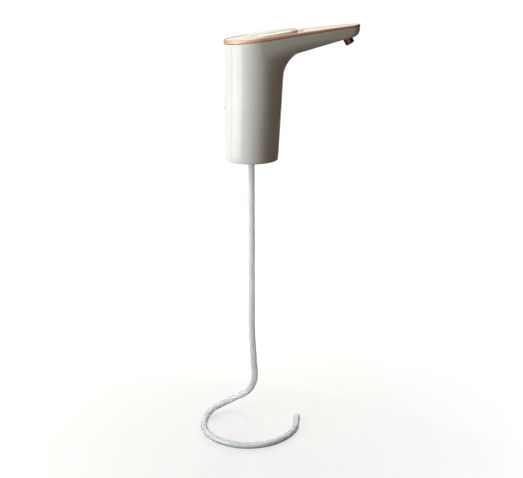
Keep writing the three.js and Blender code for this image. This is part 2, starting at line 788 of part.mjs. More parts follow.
function neckGrip() {
  const outer = socketRadius - gap;
  const inner = outer - gripWall;
  const top = socketDepth - gap;
  const seat = top - gripFlangeThickness;
  const bore = inner - gripFlange;
  const lips = [];
  for (let i = lipCount - 1; i >= 0; i -= 1) {
    const z = gripFoot + lipFirst + i * lipPitch;
    lips.push([inner, z + lipHalfHeight], [inner - lipReach, z], [inner, z - lipHalfHeight]);
  }
  const foot = [inner, gripFoot];
  const flange = [[outer, top], [bore, top], [bore, seat], [inner, seat]];
  const profile = [foot, [outer, gripFoot], ...flange, ...lips, foot];
  return revolve(profile, largeSteps);
}

piece('neck_grip', neckGrip(), silicone);

// Barb about +Z, from its root at z = 0, as profile points
function barbProfile(length) {
  const step = length / (barbRidges + 1);
  const points = [];
  for (let i = 1; i <= barbRidges; i += 1) {
    const low = step * i - step / 2;
    points.push([barbRoot, low], [barbRadius, low], [barbRoot, low + step]);
  }
  return points;
}

// Inlet fitting, its nut and ring seal

const sleeveOuter = intakeTubeRadius + gap + sleeveWall;
const flangeTop = socketDepth - gap;
const flangeBottom = flangeTop - fittingFlangeThickness;
const sleeveFoot = flangeBottom - sleeveLength;
const nutBase = deckTop + gap;
const inletBarbBase = nutBase + nutHeight;
// Two short barbs meet in the suction hose
const stubLength = (pumpHeight - inletBarbBase) / 2 - gap - barbRidge;

function inletFitting() {
  const grooveFloor = flangeTop - 2 * sealThickness - gap;
  const grooveIn = sealRadius - sealThickness - gap / 2;
  const grooveOut = sealRadius + sealThickness + gap / 2;
  const barb = barbProfile(stubLength).map(([r, z]) => [r, z + inletBarbBase + gap]);
  const boreTop = flangeBottom - gap;
  const profile = [
    [passage, boreTop], [intakeTubeRadius + gap, boreTop], [intakeTubeRadius + gap, sleeveFoot],
    [sleeveOuter, sleeveFoot], [sleeveOuter, flangeBottom], [fittingFlange, flangeBottom],
    [fittingFlange, flangeTop], [grooveOut, flangeTop], [grooveOut, grooveFloor],
    [grooveIn, grooveFloor], [grooveIn, flangeTop], [fittingStem, flangeTop],
    [fittingStem, inletBarbBase], [barbRoot, inletBarbBase + gap], ...barb,
    [passage, inletBarbBase + gap + stubLength + barbRidge], [passage, boreTop],
  ];
  return revolve(profile, mediumSteps);
}

piece('inlet_fitting', inletFitting(), acetal);
const sealHeight = flangeTop - sealThickness - gap / 2;
const sealRing = new THREE.TorusGeometry(sealRadius, sealThickness, screwSteps, mediumSteps);
piece('inlet_seal', sealRing.translate(0, 0, sealHeight), [0x3a3a3a, 0.7]);

function inletNut() {
  const hexagon = 6;
  const corner = nutFlat / Math.cos(Math.PI / hexagon);
  const body = rod(corner, nutBase, nutBase + nutHeight, hexagon);
  return shaped([body], [rod(fittingStem + gap, 0, nutBase + nutHeight + overrun, mediumSteps)]);
}

piece('inlet_nut', inletNut(), acetal);

// Intake tube: hangs through the neck to the jug's floor, its slack in an open loop there

const tubeTop = flangeBottom - 2 * gap;
const tubeRoute = tubeShares.map(([turn, out, down]) => [
  loopRadius * out * Math.cos(turn * degree),
  loopRadius * out * Math.sin(turn * degree),
  tubeTop - (tubeTop + tubeDrop) * down,
]);

function hose(points, radius, bore, sides, step) {
  const places = points.map((place) => new THREE.Vector3(...place));
  const path = new THREE.CatmullRomCurve3(places, false, 'centripetal');
  const polygon = (r) => Array.from({ length: sides }, (_, i) => {
    const angle = 2 * Math.PI * i / sides;
    return new THREE.Vector2(r * Math.cos(angle), r * Math.sin(angle));
  });
  const shape = new THREE.Shape(polygon(radius));
  if (bore) shape.holes.push(new THREE.Path(polygon(bore).reverse()));
  const steps = Math.ceil(path.getLength() / step);
  return new THREE.ExtrudeGeometry(shape, { steps, extrudePath: path });
}

piece('intake_tube', hose(tubeRoute, intakeTubeRadius, 0, tubeSides, tubeStep), clearTube);

// Suction hose between the fitting and the pump
const hoseFoot = inletBarbBase + 2 * gap;
piece('suction_hose', sleeve(hoseRadius, hoseBore, hoseFoot, pumpHeight - gap, mediumSteps), silicone);

// Gear pump, built about its own centre and turned so that its inlet lies on the neck's axis

const pump = new THREE.Group();
pump.position.set(pumpCentre.x, pumpCentre.y, 0);
pump.rotation.z = pumpTurn;
group.add(pump);

const pumpScrewX = pumpScrewCircle * Math.cos(pumpScrewTurn);
const pumpScrewY = pumpScrewCircle * Math.sin(pumpScrewTurn);
const corners = [[1, 1], [-1, 1], [-1, -1], [1, -1]];
const pumpScrewPlaces = corners.map(([along, across]) => [along * pumpScrewX, across * pumpScrewY]);
const screwClearance = pumpScrew.shank + gap;

function pumpCover() {
  const barb = barbProfile(stubLength).map(([r, z]) => [r, pumpHeight - z]);
  const root = pumpHeight + coverThickness / 2;
  const profile = [[0, root], [barbRoot, root], ...barb, [0, pumpHeight - stubLength - barbRidge]];
  const plateDisc = rod(pumpRadius, pumpHeight, pumpHeight + coverThickness, largeSteps);
  const inlet = revolve(profile, mediumSteps).translate(portOffset, 0, 0);
  const bore = rod(passage, 0, pumpHeight + coverThickness + overrun, smallSteps, portOffset);
  const top = pumpHeight + coverThickness + overrun;
  const holes = pumpScrewPlaces.map(([x, y]) => rod(screwClearance, 0, top, screwSteps, x, y));
  return shaped([plateDisc, inlet], [bore, ...holes]);
}

piece('pump_cover', pumpCover(), acetal, pump);

function pumpBody() {
  const low = pumpHeight + coverThickness + gap;
  const middle = (gearBase + cavityRoof) / 2;
  const bore = gearTip + gap;
  const half = gearDistance / 2;
  const elbowTop = pumpTop + gap;
  const barb = [[0, 0], [barbRoot, 0], ...barbProfile(barbLength), [0, barbLength + barbRidge]];
  const joined = [
    rod(pumpRadius, low, pumpTop, largeSteps),
    rod(elbowRadius, 0, elbowReach, smallSteps).rotateY(-Math.PI / 2).translate(0, 0, middle),
    rod(elbowRadius, middle - elbowRadius, elbowTop, smallSteps, -elbowReach),
    revolve(barb, smallSteps).translate(-elbowReach, 0, pumpTop),
  ];
  const cuts = [
    rod(bore, low - overrun, cavityRoof, largeSteps, 0, half),
    rod(bore, low - overrun, cavityRoof, largeSteps, 0, -half),
    rod(portRadius, low - overrun, cavityRoof, smallSteps, portOffset),
    rod(portRadius, low - overrun, cavityRoof, smallSteps, -portOffset),
    block([-portOffset, portOffset], [-portRadius, portRadius], [low - overrun, cavityRoof]),
    rod(shaftRadius + gap, 0, pumpTop + overrun, smallSteps, 0, -half),
    rod(shaftSealRadius + gap, pumpTop - shaftSealHeight - gap, pumpTop + overrun, mediumSteps, 0, -half),
    rod(shaftRadius + gap, 0, cavityRoof + pumpRoof / 2, smallSteps, 0, half),
    rod(passage, portOffset, elbowReach, screwSteps).rotateY(-Math.PI / 2).translate(0, 0, middle),
    rod(passage, middle, elbowTop + barbLength + overrun, screwSteps, -elbowReach),
  ];
  for (const [x, y] of pumpScrewPlaces) {
    cuts.push(rod(screwClearance, 0, pumpHeight + pumpScrew.length, screwSteps, x, y));
  }
  return shaped(joined, cuts);
}

piece('pump_body', pumpBody(), acetal, pump);
pumpScrewPlaces.forEach(([x, y], i) => {
  piece(`pump_screw_${i + 1}`, screw(pumpScrew).translate(x, y, pumpHeight - gap), steel, pump);
});

// Involute spur gear, one tooth centred on +X before it is turned
function gearShape() {
  const pitch = gearModule * gearTeeth / 2;
  const base = pitch * Math.cos(pressureAngle);
  const involute = (angle) => Math.tan(angle) - angle;
  const halfTooth = (Math.PI * gearModule / 2 - toothThinning) / (2 * pitch); // as an angle
  const radii = Array.from({ length: flankSteps }, (_, i) => {
    const from = Math.max(base, gearRoot);
    return from + (gearTip - from) * i / (flankSteps - 1);
  });
  const flank = (r) => involute(Math.acos(Math.min(base / r, 1)));
  const halfAt = (r) => halfTooth + involute(pressureAngle) - flank(r);
  const polar = (r, angle) => new THREE.Vector2(r * Math.cos(angle), r * Math.sin(angle));
  const points = [];
  for (let tooth = 0; tooth < gearTeeth; tooth += 1) {
    const middle = 2 * Math.PI * tooth / gearTeeth;
    points.push(polar(gearRoot, middle - halfAt(radii[0])));
    for (const r of radii) points.push(polar(r, middle - halfAt(r)));
    for (const r of [...radii].reverse()) points.push(polar(r, middle + halfAt(r)));
    points.push(polar(gearRoot, middle + halfAt(radii[0])));
  }
  const shape = new THREE.Shape(points);
  shape.holes.push(new THREE.Path().absarc(0, 0, shaftRadius + gap, 0, 2 * Math.PI, true));
  return shape;
}

function gear(turn) {
  return prism(gearShape(), gearBase, gearBase + gearWidth, screwSteps).rotateZ(turn);
}

const halfDistance = gearDistance / 2;
const halfPitch = Math.PI / gearTeeth;
piece('drive_gear', gear(Math.PI / 2).translate(0, -halfDistance, 0), acetal, pump);
piece('idler_gear', gear(Math.PI / 2 + halfPitch).translate(0, halfDistance, 0), acetal, pump);
const pinTop = cavityRoof + pumpRoof / 2 - gap;
piece('idler_pin', rod(shaftRadius, gearBase - gap / 2, pinTop, smallSteps, 0, halfDistance), steel, pump);
const shaftTop = motorTop + capHeight / 2;
piece('motor_shaft', rod(shaftRadius, gearBase, shaftTop, smallSteps, 0, -halfDistance), steel, pump);
const shaftSeal = sleeve(shaftSealRadius, shaftRadius + gap, pumpTop - shaftSealHeight, pumpTop, mediumSteps);
piece('shaft_seal', shaftSeal.translate(0, -halfDistance, 0), [0x2b2b2b, 0.7], pump);

// Motor

function motorCan() {
  const bore = shaftRadius + gap;
  const profile = [
    [bore, motorBase], [motorRadius - motorEdge, motorBase], [motorRadius, motorBase + motorEdge],
    [motorRadius, motorTop], [bore, motorTop], [bore, motorBase],
  ];
  const vents = [1, -1].map((side) => {
    const middle = side * (motorRadius - ventDepth + overrun);
    const low = motorBase + motorLength / 2;
    const across = [middle - overrun, middle + overrun];
    return block(across, [-ventHalfWidth, ventHalfWidth], [low, low + ventHeight]);
  });
  return shaped([revolve(profile, largeSteps)], vents).translate(0, -halfDistance, 0);
}

piece('motor_can', motorCan(), steel, pump);

function motorCap() {
  const low = motorTop + gap;
  const top = low + capHeight;
  const disc = sleeve(capRadius, shaftRadius + gap, low, top, mediumSteps);
  const tabs = [terminalSpan, -terminalSpan].map((x) => block(
    [x - terminalThickness / 2, x + terminalThickness / 2],
    [-terminalHalfWidth, terminalHalfWidth],
    [top - capHeight / 2, top + terminalHeight],
  ));
  return shaped([disc, ...tabs]).translate(0, -halfDistance, 0);
}

piece('motor_cap', motorCap(), blackPlastic, pump);

// Battery

const nubTop = cellTop + cellNubHeight;
const cellProfile = [
  [0, cellFloor], [cellRadius, cellFloor], [cellRadius, cellTop],
  [cellNub, cellTop], [cellNub, nubTop], [0, nubTop],
];
piece('battery_cell', revolve(cellProfile, mediumSteps).translate(cellX, 0, 0), [0x3f6fb0, 0.4]);

// Chassis: base plate, pump posts, battery cradle, motor clip and charging board's bracket

const chargeScrewPlaces = [chargeScrewY, -chargeScrewY];
const alongX = (geometry) => geometry.rotateY(Math.PI / 2);

function chassis() {
  const plateTop = chassisBase + plateThickness;
  const cradleBase = cellFloor - gap - cradleFloor;
  const cradleTop = cellFloor + cradleHeight;
  const posts = Array.from({ length: pumpPostCount }, (_, i) => {
    const angle = pumpTurn + (i + 1) * Math.PI / 2;
    const x = pumpCentre.x + pumpPostCircle * Math.cos(angle);
    const y = pumpCentre.y + pumpPostCircle * Math.sin(angle);
    return rod(pumpPostRadius, chassisBase, pumpHeight - gap, smallSteps, x, y);
  });
  const clipOuter = motorRadius + gap + clipWall;
  const clip = [clipBase, clipTop];
  const clipCut = [clipBase - overrun, clipTop + overrun];
  const legX = cellX - cradleOuter + gap;
  const bracketX = chargeBoardX + gap;
  const joined = [
    rod(plateRadius, chassisBase, plateTop, largeSteps),
    ...posts,
    block([legX, legX + legThickness], [-legHalfWidth, legHalfWidth], [chassisBase, cellFloor - gap]),
    rod(cradleOuter, cradleBase, cradleTop, mediumSteps, cellX),
    rod(clipOuter, ...clip, mediumSteps, motorCentre.x, motorCentre.y),
    block([motorCentre.x, cellX], [-bridgeHalfWidth, bridgeHalfWidth], clip),
    block([bracketX, bracketX + bracketDepth], [-chargeBoardHalf, chargeBoardHalf], clip),
  ];
  const front = cellX + cradleOuter + overrun;
  const beside = [-cradleOuter - overrun, cradleOuter + overrun];
  const above = cradleTop + overrun;
  const cuts = [
    rod(chassisHole, 0, plateTop + overrun, mediumSteps),
    rod(cellRadius + gap, cellFloor - gap, above, mediumSteps, cellX),
    rod(motorRadius + gap, ...clipCut, mediumSteps, motorCentre.x, motorCentre.y),
    block([cellX, front], beside, [cellFloor - gap, above]),
    block([cellX + cradleLip, front], beside, [cradleBase - overrun, above]),
  ];
  for (const [x, y] of chassisScrewPlaces) {
    cuts.push(rod(deckScrew.shank + gap, 0, plateTop + overrun, screwSteps, x, y));
  }
  for (const y of chargeScrewPlaces) {
    const hole = rod(smallScrew.shank + gap, chargeBoardX, chargeBoardX + smallScrew.length, screwSteps);
    cuts.push(alongX(hole).translate(0, y, chargeScrewHeight));
  }
  return shaped(joined, cuts);
}

piece('chassis', chassis(), [0xd9d9d4, 0.55]);

// Charging board, its socket and screws

function chargeBoard() {
  const span = [chargeBoardX - chargeBoardThickness, chargeBoardX];
  const heights = [portHeight - chargeBoardBelow, clipTop + chargeBoardAbove];
  const board = block(span, [-chargeBoardHalf, chargeBoardHalf], heights);
  const holes = chargeScrewPlaces.map((y) => {
    const hole = rod(smallScrew.shank + gap, span[0] - overrun, span[1] + overrun, screwSteps);
    return alongX(hole).translate(0, y, chargeScrewHeight);
  });
  return shaped([board], holes);
}

piece('charging_board', chargeBoard(), circuit);
const boardFace = chargeBoardX - chargeBoardThickness - gap;
const shortScrew = { ...smallScrew, length: chargeBoardThickness + bracketDepth };
chargeScrewPlaces.forEach((y, i) => {
  const turned = alongX(screw(shortScrew)).translate(boardFace, y, chargeScrewHeight);
  piece(`charging_screw_${i + 1}`, turned, steel);
});

function roundedSlot(width, height) {
  const r = height / 2;
  const half = width / 2 - r;
  const shape = new THREE.Shape();
  shape.absarc(half, 0, r, -Math.PI / 2, Math.PI / 2, false);
  shape.absarc(-half, 0, r, Math.PI / 2, 3 * Math.PI / 2, false);
  return shape;
}

function chargingSocket() {
  const shell = roundedSlot(socketWidth, socketTall);
  const bore = roundedSlot(socketWidth - 2 * socketSkin, socketTall - 2 * socketSkin);
  const outer = prism(shell, 0, socketLength, screwSteps);
  const inner = prism(bore, socketSkin, socketLength + overrun, screwSteps);
  const blade = block([-bladeHalfWidth, bladeHalfWidth], [-bladeHalfTall, bladeHalfTall], [0, bladeLength]);
  const whole = solid(outer).subtract(solid(inner)).add(solid(blade));
  const turned = geometryOf(whole).rotateZ(Math.PI / 2).rotateY(-Math.PI / 2);
  return turned.translate(boardFace, 0, portHeight);
}

piece('charging_socket', chargingSocket(), steel);

// Port cover: a flap of the housing's own skin with a plug behind it, hinged above its tail

function skinPatch(halfWidth, low, high) {
  const patch = solid(block([-reach, 0], [-halfWidth, halfWidth], [low, high]));
  return patch.intersect(solid(housingBody(0))).subtract(solid(housingBody(coverSkin, overrun)));
}

const coverFoot = portHeight - coverTall / 2;

function portCover() {
  const flap = skinPatch(coverWidth / 2, coverFoot, portHeight + coverTall / 2);
  const face = backX(portHeight) + coverSkin / 2;
  const nubHeights = [portHeight - nubTall / 2, portHeight + nubTall / 2];
  const nub = block([face, face + coverSkin / 2 + nubDepth], [-nubWidth / 2, nubWidth / 2], nubHeights);
  return geometryOf(flap.add(solid(nub)));
}

piece('port_cover', portCover(), silicone);
const tail = skinPatch(tailWidth / 2, coverFoot - gap - tailTall, coverFoot - gap);
piece('port_cover_tail', geometryOf(tail), silicone);

// Nozzle, its straightener and seal, and the elbow that joins it to the hose

const nozzleSealFoot = bossTop + gap / 2;
const nozzleSealTop = nozzleSealFoot + nozzleSealThickness;
const flangeFoot = nozzleSealTop + gap / 2;
const nozzleFlangeTop = flangeFoot + nozzleFlangeThickness;

function nozzle() {
  const top = nozzleFlangeTop + spigotLength;
  const profile = [
    [nozzleMouth, 0], [nozzleRadius - nozzleEdge, 0], [nozzleRadius, nozzleEdge], [nozzleRadius, flangeFoot],
    [nozzleFlange, flangeFoot], [nozzleFlange, nozzleFlangeTop], [spigotRadius, nozzleFlangeTop],
    [spigotRadius, top], [passage, top], [passage, nozzleMouthDepth], [nozzleMouth, nozzleMouthDepth],
    [nozzleMouth, 0],
  ];
  return revolve(profile, mediumSteps);
}

piece('nozzle', onNozzle(nozzle()), roseGold);

function nozzleInsert() {
  const shape = new THREE.Shape().absarc(0, 0, nozzleMouth - gap, 0, 2 * Math.PI, false);
  for (let i = 0; i < insertHoleCount; i += 1) {
    const angle = 2 * Math.PI * i / insertHoleCount;
    const [x, y] = [insertHoleCircle * Math.cos(angle), insertHoleCircle * Math.sin(angle)];
    shape.holes.push(new THREE.Path().absarc(x, y, insertHoleRadius, 0, 2 * Math.PI, true));
  }
  const top = nozzleMouthDepth - gap;
  return prism(shape, top - insertThickness, top, screwSteps);
}

piece('nozzle_straightener', onNozzle(nozzleInsert()), acetal);
const nozzleSeal = sleeve(nozzleFlange, nozzleRadius + gap, nozzleSealFoot, nozzleSealTop, mediumSteps);
piece('nozzle_seal', onNozzle(nozzleSeal), [0x3a3a3a, 0.7]);

const elbowFoot = nozzleFlangeTop + gap;
const armBarbBase = new THREE.Vector3(0, 0, elbowFoot + armBarbHeight).applyMatrix4(nozzleTurn);
const armBarbTurn = new THREE.Matrix4().makeRotationY(-Math.PI / 2 - armBarbSlope).setPosition(armBarbBase);
const armBarbEnd = elbowBody + armBarbLength;

function nozzleElbow() {
  const body = onNozzle(rod(elbowBody, elbowFoot, elbowFoot + elbowHeight, mediumSteps));
  const well = onNozzle(rod(spigotRadius + gap, elbowFoot - overrun, elbowFoot + spigotLength, smallSteps));
  const ridges = barbProfile(armBarbLength).map(([r, z]) => [r, z + elbowBody]);
  const profile = [[0, 0], [barbRoot, 0], [barbRoot, elbowBody], ...ridges, [0, armBarbEnd + barbRidge]];
  const barb = revolve(profile, smallSteps).applyMatrix4(armBarbTurn);
  const bore = rod(passage, 0, armBarbEnd + overrun, screwSteps).applyMatrix4(armBarbTurn);
  return shaped([body, barb], [well, bore]);
}

piece('nozzle_elbow', nozzleElbow(), acetal);

// Delivery hose: up beside the motor, over the battery and along the arm
const deliveryFoot = pumpTop + 2 * gap;
const alongBarb = (distance) => new THREE.Vector3(0, 0, distance).applyMatrix4(armBarbTurn).toArray();

// Height of the arm's inner floor at x
function armFloor(x) {
  const path = frontPath(wall);
  const after = path.findIndex((p) => p.x >= x);
  const [p, q] = [path[after - 1], path[after]];
  return p.y + (q.y - p.y) * (x - p.x) / (q.x - p.x);
}

// The hose lies under the control board, and on the arm's floor where that comes up to meet it
function hosePlace(x) {
  const room = hoseRadius + hoseClearance;
  const under = plate(x) + (boardTop - boardThickness) / Math.cos(plateSlope) - room;
  const over = x > headOffset + headRadius ? armFloor(x) + room : under;
  const share = (x - hoseCentre.x) / (hoseLevelX - hoseCentre.x);
  return [x, hoseCentre.y * (1 - share), Math.max(under, over)];
}

function deliveryRoute() {
  const { x, y } = hoseCentre;
  const upright = [deliveryFoot, deliveryFoot + barbLength, (deliveryFoot + bendHeight) / 2, bendHeight];
  const level = hoseLevelShares.map((share) => hosePlace(x + share * (hoseLevelX - x)));
  const [levelX, levelY, levelZ] = level[0];
  const turn = hoseTurnShares.map(([across, up]) => [
    x + across * (levelX - x),
    y + across * (levelY - y),
    bendHeight + up * (levelZ - bendHeight),
  ]);
  const ends = [armLeadIn, armBarbEnd, elbowBody + gap].map(alongBarb);
  return [...upright.map((z) => [x, y, z]), ...turn, ...level, ...ends];
}

piece('delivery_hose', hose(deliveryRoute(), hoseRadius, hoseBore, hoseSides, hoseStep), silicone);

export default group;
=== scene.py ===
# %% [markdown]
# # An electric water pump head in Blender
# The pump is a glossy column with a socket of about 50 mm underneath. An arm grows out of it and
# carries a small spout, and a soft tube hangs below it to draw the water up. The measured model is
# loaded first and stays as it is. This file dresses it: smooth skins over the faceted solids, and
# a finish with real detail on every piece.

# %% Load the measured model
import json
import math

import bmesh
import bpy
import numpy as np
from mathutils import Matrix, Vector


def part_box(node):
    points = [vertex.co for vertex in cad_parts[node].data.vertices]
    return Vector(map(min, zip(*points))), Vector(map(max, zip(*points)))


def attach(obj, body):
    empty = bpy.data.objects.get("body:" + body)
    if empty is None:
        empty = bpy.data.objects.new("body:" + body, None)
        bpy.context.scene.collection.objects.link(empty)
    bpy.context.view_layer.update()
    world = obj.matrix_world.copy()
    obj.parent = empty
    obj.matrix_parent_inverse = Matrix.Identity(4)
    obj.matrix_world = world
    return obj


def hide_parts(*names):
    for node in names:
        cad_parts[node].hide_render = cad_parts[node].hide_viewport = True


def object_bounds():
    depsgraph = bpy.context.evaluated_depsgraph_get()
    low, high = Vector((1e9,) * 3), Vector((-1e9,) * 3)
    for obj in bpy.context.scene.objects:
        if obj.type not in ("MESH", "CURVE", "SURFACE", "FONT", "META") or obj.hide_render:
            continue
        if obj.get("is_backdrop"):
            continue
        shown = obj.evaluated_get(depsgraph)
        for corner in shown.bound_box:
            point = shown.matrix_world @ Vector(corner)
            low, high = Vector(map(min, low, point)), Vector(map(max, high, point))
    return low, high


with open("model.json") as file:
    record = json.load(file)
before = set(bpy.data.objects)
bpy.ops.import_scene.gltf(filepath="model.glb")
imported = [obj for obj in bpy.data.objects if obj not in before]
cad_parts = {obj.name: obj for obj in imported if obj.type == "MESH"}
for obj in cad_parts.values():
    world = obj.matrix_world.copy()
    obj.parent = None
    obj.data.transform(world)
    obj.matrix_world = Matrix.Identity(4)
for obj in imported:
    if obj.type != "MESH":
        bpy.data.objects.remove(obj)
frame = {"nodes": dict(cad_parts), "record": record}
cad_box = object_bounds()
MM = 0.001

# %% [markdown]
# ## Camera
# The camera was fitted to the round rim of the column, the edge of the top plate and the
# vertical edges. It stands 0.95 m away and looks 18.5 degrees down, from a little behind the arm.

# %% Camera
LENS, SENSOR = 56.5, 36
CAMERA_PLACE, LOOKED_AT = Vector((-0.1322, -0.9408, 0.218)), Vector((0.0116, -0.0035, -0.0996))
camera_data = bpy.data.cameras.new("camera")
camera_data.lens, camera_data.sensor_width = LENS, SENSOR
camera = bpy.data.objects.new("camera", camera_data)
bpy.context.collection.objects.link(camera)
camera.location = CAMERA_PLACE
camera.rotation_euler = (LOOKED_AT - CAMERA_PLACE).to_track_quat("-Z", "Y").to_euler()
bpy.context.scene.camera = camera
print(f"camera: {(LOOKED_AT - CAMERA_PLACE).length:.3f} m from what it looks at")

# %% [markdown]
# ## Intake tube
# A soft clear tube, 8 mm thick, is pushed into the fitting inside the socket. It hangs straight
# down, and its slack lies in an open loop on the floor. A round curve would do for a solid cord,
# but the cut end is open, so the tube is swept by hand: an outer wall, an inner wall and a ring
# at each end. Every ring is carried along the path without twist.

# %% Route of the tube: turn in degrees, then shares of the loop's radius and of the drop
TUBE_TOP, TUBE_DROP, LOOP = 25.1, 355.5, 56.0
TUBE_SHARES = [
    (0, 0, 0), (0, 0, .22), (0, 0, .46), (0, 0, .66), (50, .07, .762), (72, .27, .855),
    (95, .56, .923), (120, .86, .967), (147, 1.08, .989), (176, 1.14, 1), (207, 1.1, 1),
    (238, 1.02, 1), (270, .97, 1), (302, .97, 1), (334, 1.02, 1), (366, 1.1, 1),
]


def tube_place(degrees, out, down):
    angle = math.radians(degrees)
    height = TUBE_TOP - (TUBE_TOP + TUBE_DROP) * down
    return np.array([LOOP * out * math.cos(angle), LOOP * out * math.sin(angle), height])


def smooth_route(points, per_span=10):
    """Centripetal Catmull-Rom curve through the points."""
    ends = [2 * points[0] - points[1], *points, 2 * points[-1] - points[-2]]
    route = []
    for p0, p1, p2, p3 in zip(ends, ends[1:], ends[2:], ends[3:]):
        t1 = np.linalg.norm(p1 - p0) ** 0.5
        t2 = t1 + np.linalg.norm(p2 - p1) ** 0.5
        t3 = t2 + np.linalg.norm(p3 - p2) ** 0.5
        for t in np.linspace(t1, t2, per_span, endpoint=False):
            a = p0 + (p1 - p0) * t / t1
            b = p1 + (p2 - p1) * (t - t1) / (t2 - t1)
            c = p2 + (p3 - p2) * (t - t2) / (t3 - t2)
            d = a + (b - a) * t / t2
            e = b + (c - b) * (t - t1) / (t3 - t1)
            route.append(d + (e - d) * (t - t1) / (t2 - t1))
    return np.array(route + [points[-1]])


tube_route = smooth_route([tube_place(*row) for row in TUBE_SHARES]) * MM

# %% Helpers that make a closed mesh
CREASE, SOFT_CREASE = 35, 50  # degrees, past which an edge stays sharp
SAME_PLACE, NO_LENGTH = 1e-6, 1e-7


def add_object(name, points, faces, crease=CREASE):
    """A mesh object at the origin, with soft shading up to the crease angle."""
    mesh = bpy.data.meshes.new(name)
    mesh.from_pydata([tuple(p) for p in points], [], faces)
    piece = bpy.data.objects.new(name, mesh)
    bpy.context.collection.objects.link(piece)
    return finish_mesh(piece, crease)


def finish_mesh(piece, crease=CREASE):
    """Soft shading up to the crease angle."""
    mesh = piece.data
    mesh.validate()
    mesh.shade_smooth()
    mesh.set_sharp_from_angle(angle=math.radians(crease))
    mesh.update()
    return piece


def ring_faces(rows, count, closed=False):
    """Quads between rings of `count` points, the last joined to the first where closed."""
    faces = []
    for k in range(rows if closed else rows - 1):
        low, high = k * count, (k + 1) % rows * count
        for i in range(count):
            j = (i + 1) % count
            faces.append((low + i, low + j, high + j, high + i))
    return faces


def stack(name, rings):
    """A closed solid over rings of equal counts, with a flat cap at each end."""
    count = len(rings[0])
    points = [np.array(p) * MM for ring in rings for p in ring]
    caps = [tuple(range(count))[::-1], tuple(range(len(points) - count, len(points)))]
    return weld(add_object(name, points, ring_faces(len(rings), count) + caps))


def turned(name, profile, steps=96, crease=CREASE, place=None):
    """A round solid like work on a lathe, from [radius, height] pairs in millimetres. Points on
    the axis are merged, and the place is put into the mesh."""
    count = len(profile)
    angles = np.arange(steps) * 2 * math.pi / steps
    points = [(r * math.cos(a) * MM, r * math.sin(a) * MM, z * MM) for a in angles for r, z in profile]
    faces = []
    for k in range(steps):
        near, far = k * count, (k + 1) % steps * count
        for i in range(count):
            j = (i + 1) % count
            faces.append((near + i, far + i, far + j, near + j))
    return weld(add_object(name, points, faces, crease), place, crease)


def weld(piece, place=None, crease=CREASE):
    """Merges what lies on one place, puts the mesh in its place and turns its faces outwards."""
    bm = bmesh.new()
    bm.from_mesh(piece.data)
    bmesh.ops.remove_doubles(bm, verts=bm.verts, dist=SAME_PLACE)
    bmesh.ops.dissolve_degenerate(bm, edges=bm.edges, dist=NO_LENGTH)
    if place is not None:
        bmesh.ops.transform(bm, matrix=place, verts=bm.verts)
    bmesh.ops.recalc_face_normals(bm, faces=bm.faces)
    bm.to_mesh(piece.data)
    bm.free()
    return finish_mesh(piece, crease)


def plain_mesh(piece):
    """Turns what the modifiers make of a piece into its own mesh, and removes them."""
    depsgraph = bpy.context.evaluated_depsgraph_get()
    mesh = bpy.data.meshes.new_from_object(piece.evaluated_get(depsgraph))
    piece.modifiers.clear()
    piece.data = mesh


def cut(piece, cutters, operation="DIFFERENCE"):
    """Booleans with throw-away cutters, applied to the mesh."""
    for tool in cutters:
        modifier = piece.modifiers.new("cut", "BOOLEAN")
        modifier.operation = operation
        modifier.solver = "EXACT"
        modifier.object = tool
    plain_mesh(piece)
    for tool in cutters:
        bpy.data.objects.remove(tool)
    return finish_mesh(piece)


# %% Sweep of the tube
TUBE_OUTER, TUBE_BORE, TUBE_SIDES = 4 * MM, 2.6 * MM, 32


def swept_tube(name, route, outer, bore, sides):
    """An open-ended tube along a route, with both its walls."""
    along = np.gradient(route, axis=0)
    along /= np.linalg.norm(along, axis=1)[:, None]
    side = np.array([1.0, 0, 0])
    walls = {outer: [], bore: []}
    for place, direction in zip(route, along):
        side = side - direction * side.dot(direction)
        side /= np.linalg.norm(side)
        up = np.cross(direction, side)
        for radius, rings in walls.items():
            angles = np.arange(sides) * 2 * math.pi / sides
            rings.append([place + radius * (side * math.cos(a) + up * math.sin(a)) for a in angles])
    rings = walls[outer] + walls[bore][::-1]
    points = [p for ring in rings for p in ring]
    piece = add_object(name, points, ring_faces(len(rings), sides, closed=True), SOFT_CREASE)
    return weld(piece, crease=SOFT_CREASE)


intake_tube = swept_tube("clear_intake_tube", tube_route, TUBE_OUTER, TUBE_BORE, TUBE_SIDES)
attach(intake_tube, "pump_head")
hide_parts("intake_tube")

# %% [markdown]
# ## Outline of the housing
# Seen from above, every level of the housing is a round head that narrows along two straight
# sides to a rounder or sharper front. Lower levels are plain circles, the top level is the long
# drop shape of the plate. One function draws them all, so that housing, band, panel and pad
# follow one another with even gaps.

# %% Sizes and outlines, in millimetres
BASE_R, HEAD_R, HEAD_X, BEND_Z = 32.0037, 34.0037, 3.4, 96.0
REACH, TIP_R, WALL = 126.0, 12.0, 2.4
FILLET_R, NOSE_R, NOSE_DROP = 30.0, 9.0, 6.2
PLATE_Z, PLATE_SLOPE = 140.3, math.radians(6.5)
TIP_DROP, DROP_FROM = 1.6, 40.0
BAND_BACK, BAND_TIP, BULGE, RIM = 4.2, 3.6, 0.3, 2.0
LEAN = (HEAD_R - TIP_R) / (REACH - TIP_R - HEAD_X)
SIDES = 160
ANGLES = (np.arange(SIDES) + 0.5) * 2 * math.pi / SIDES - math.pi
TINY = 1e-9


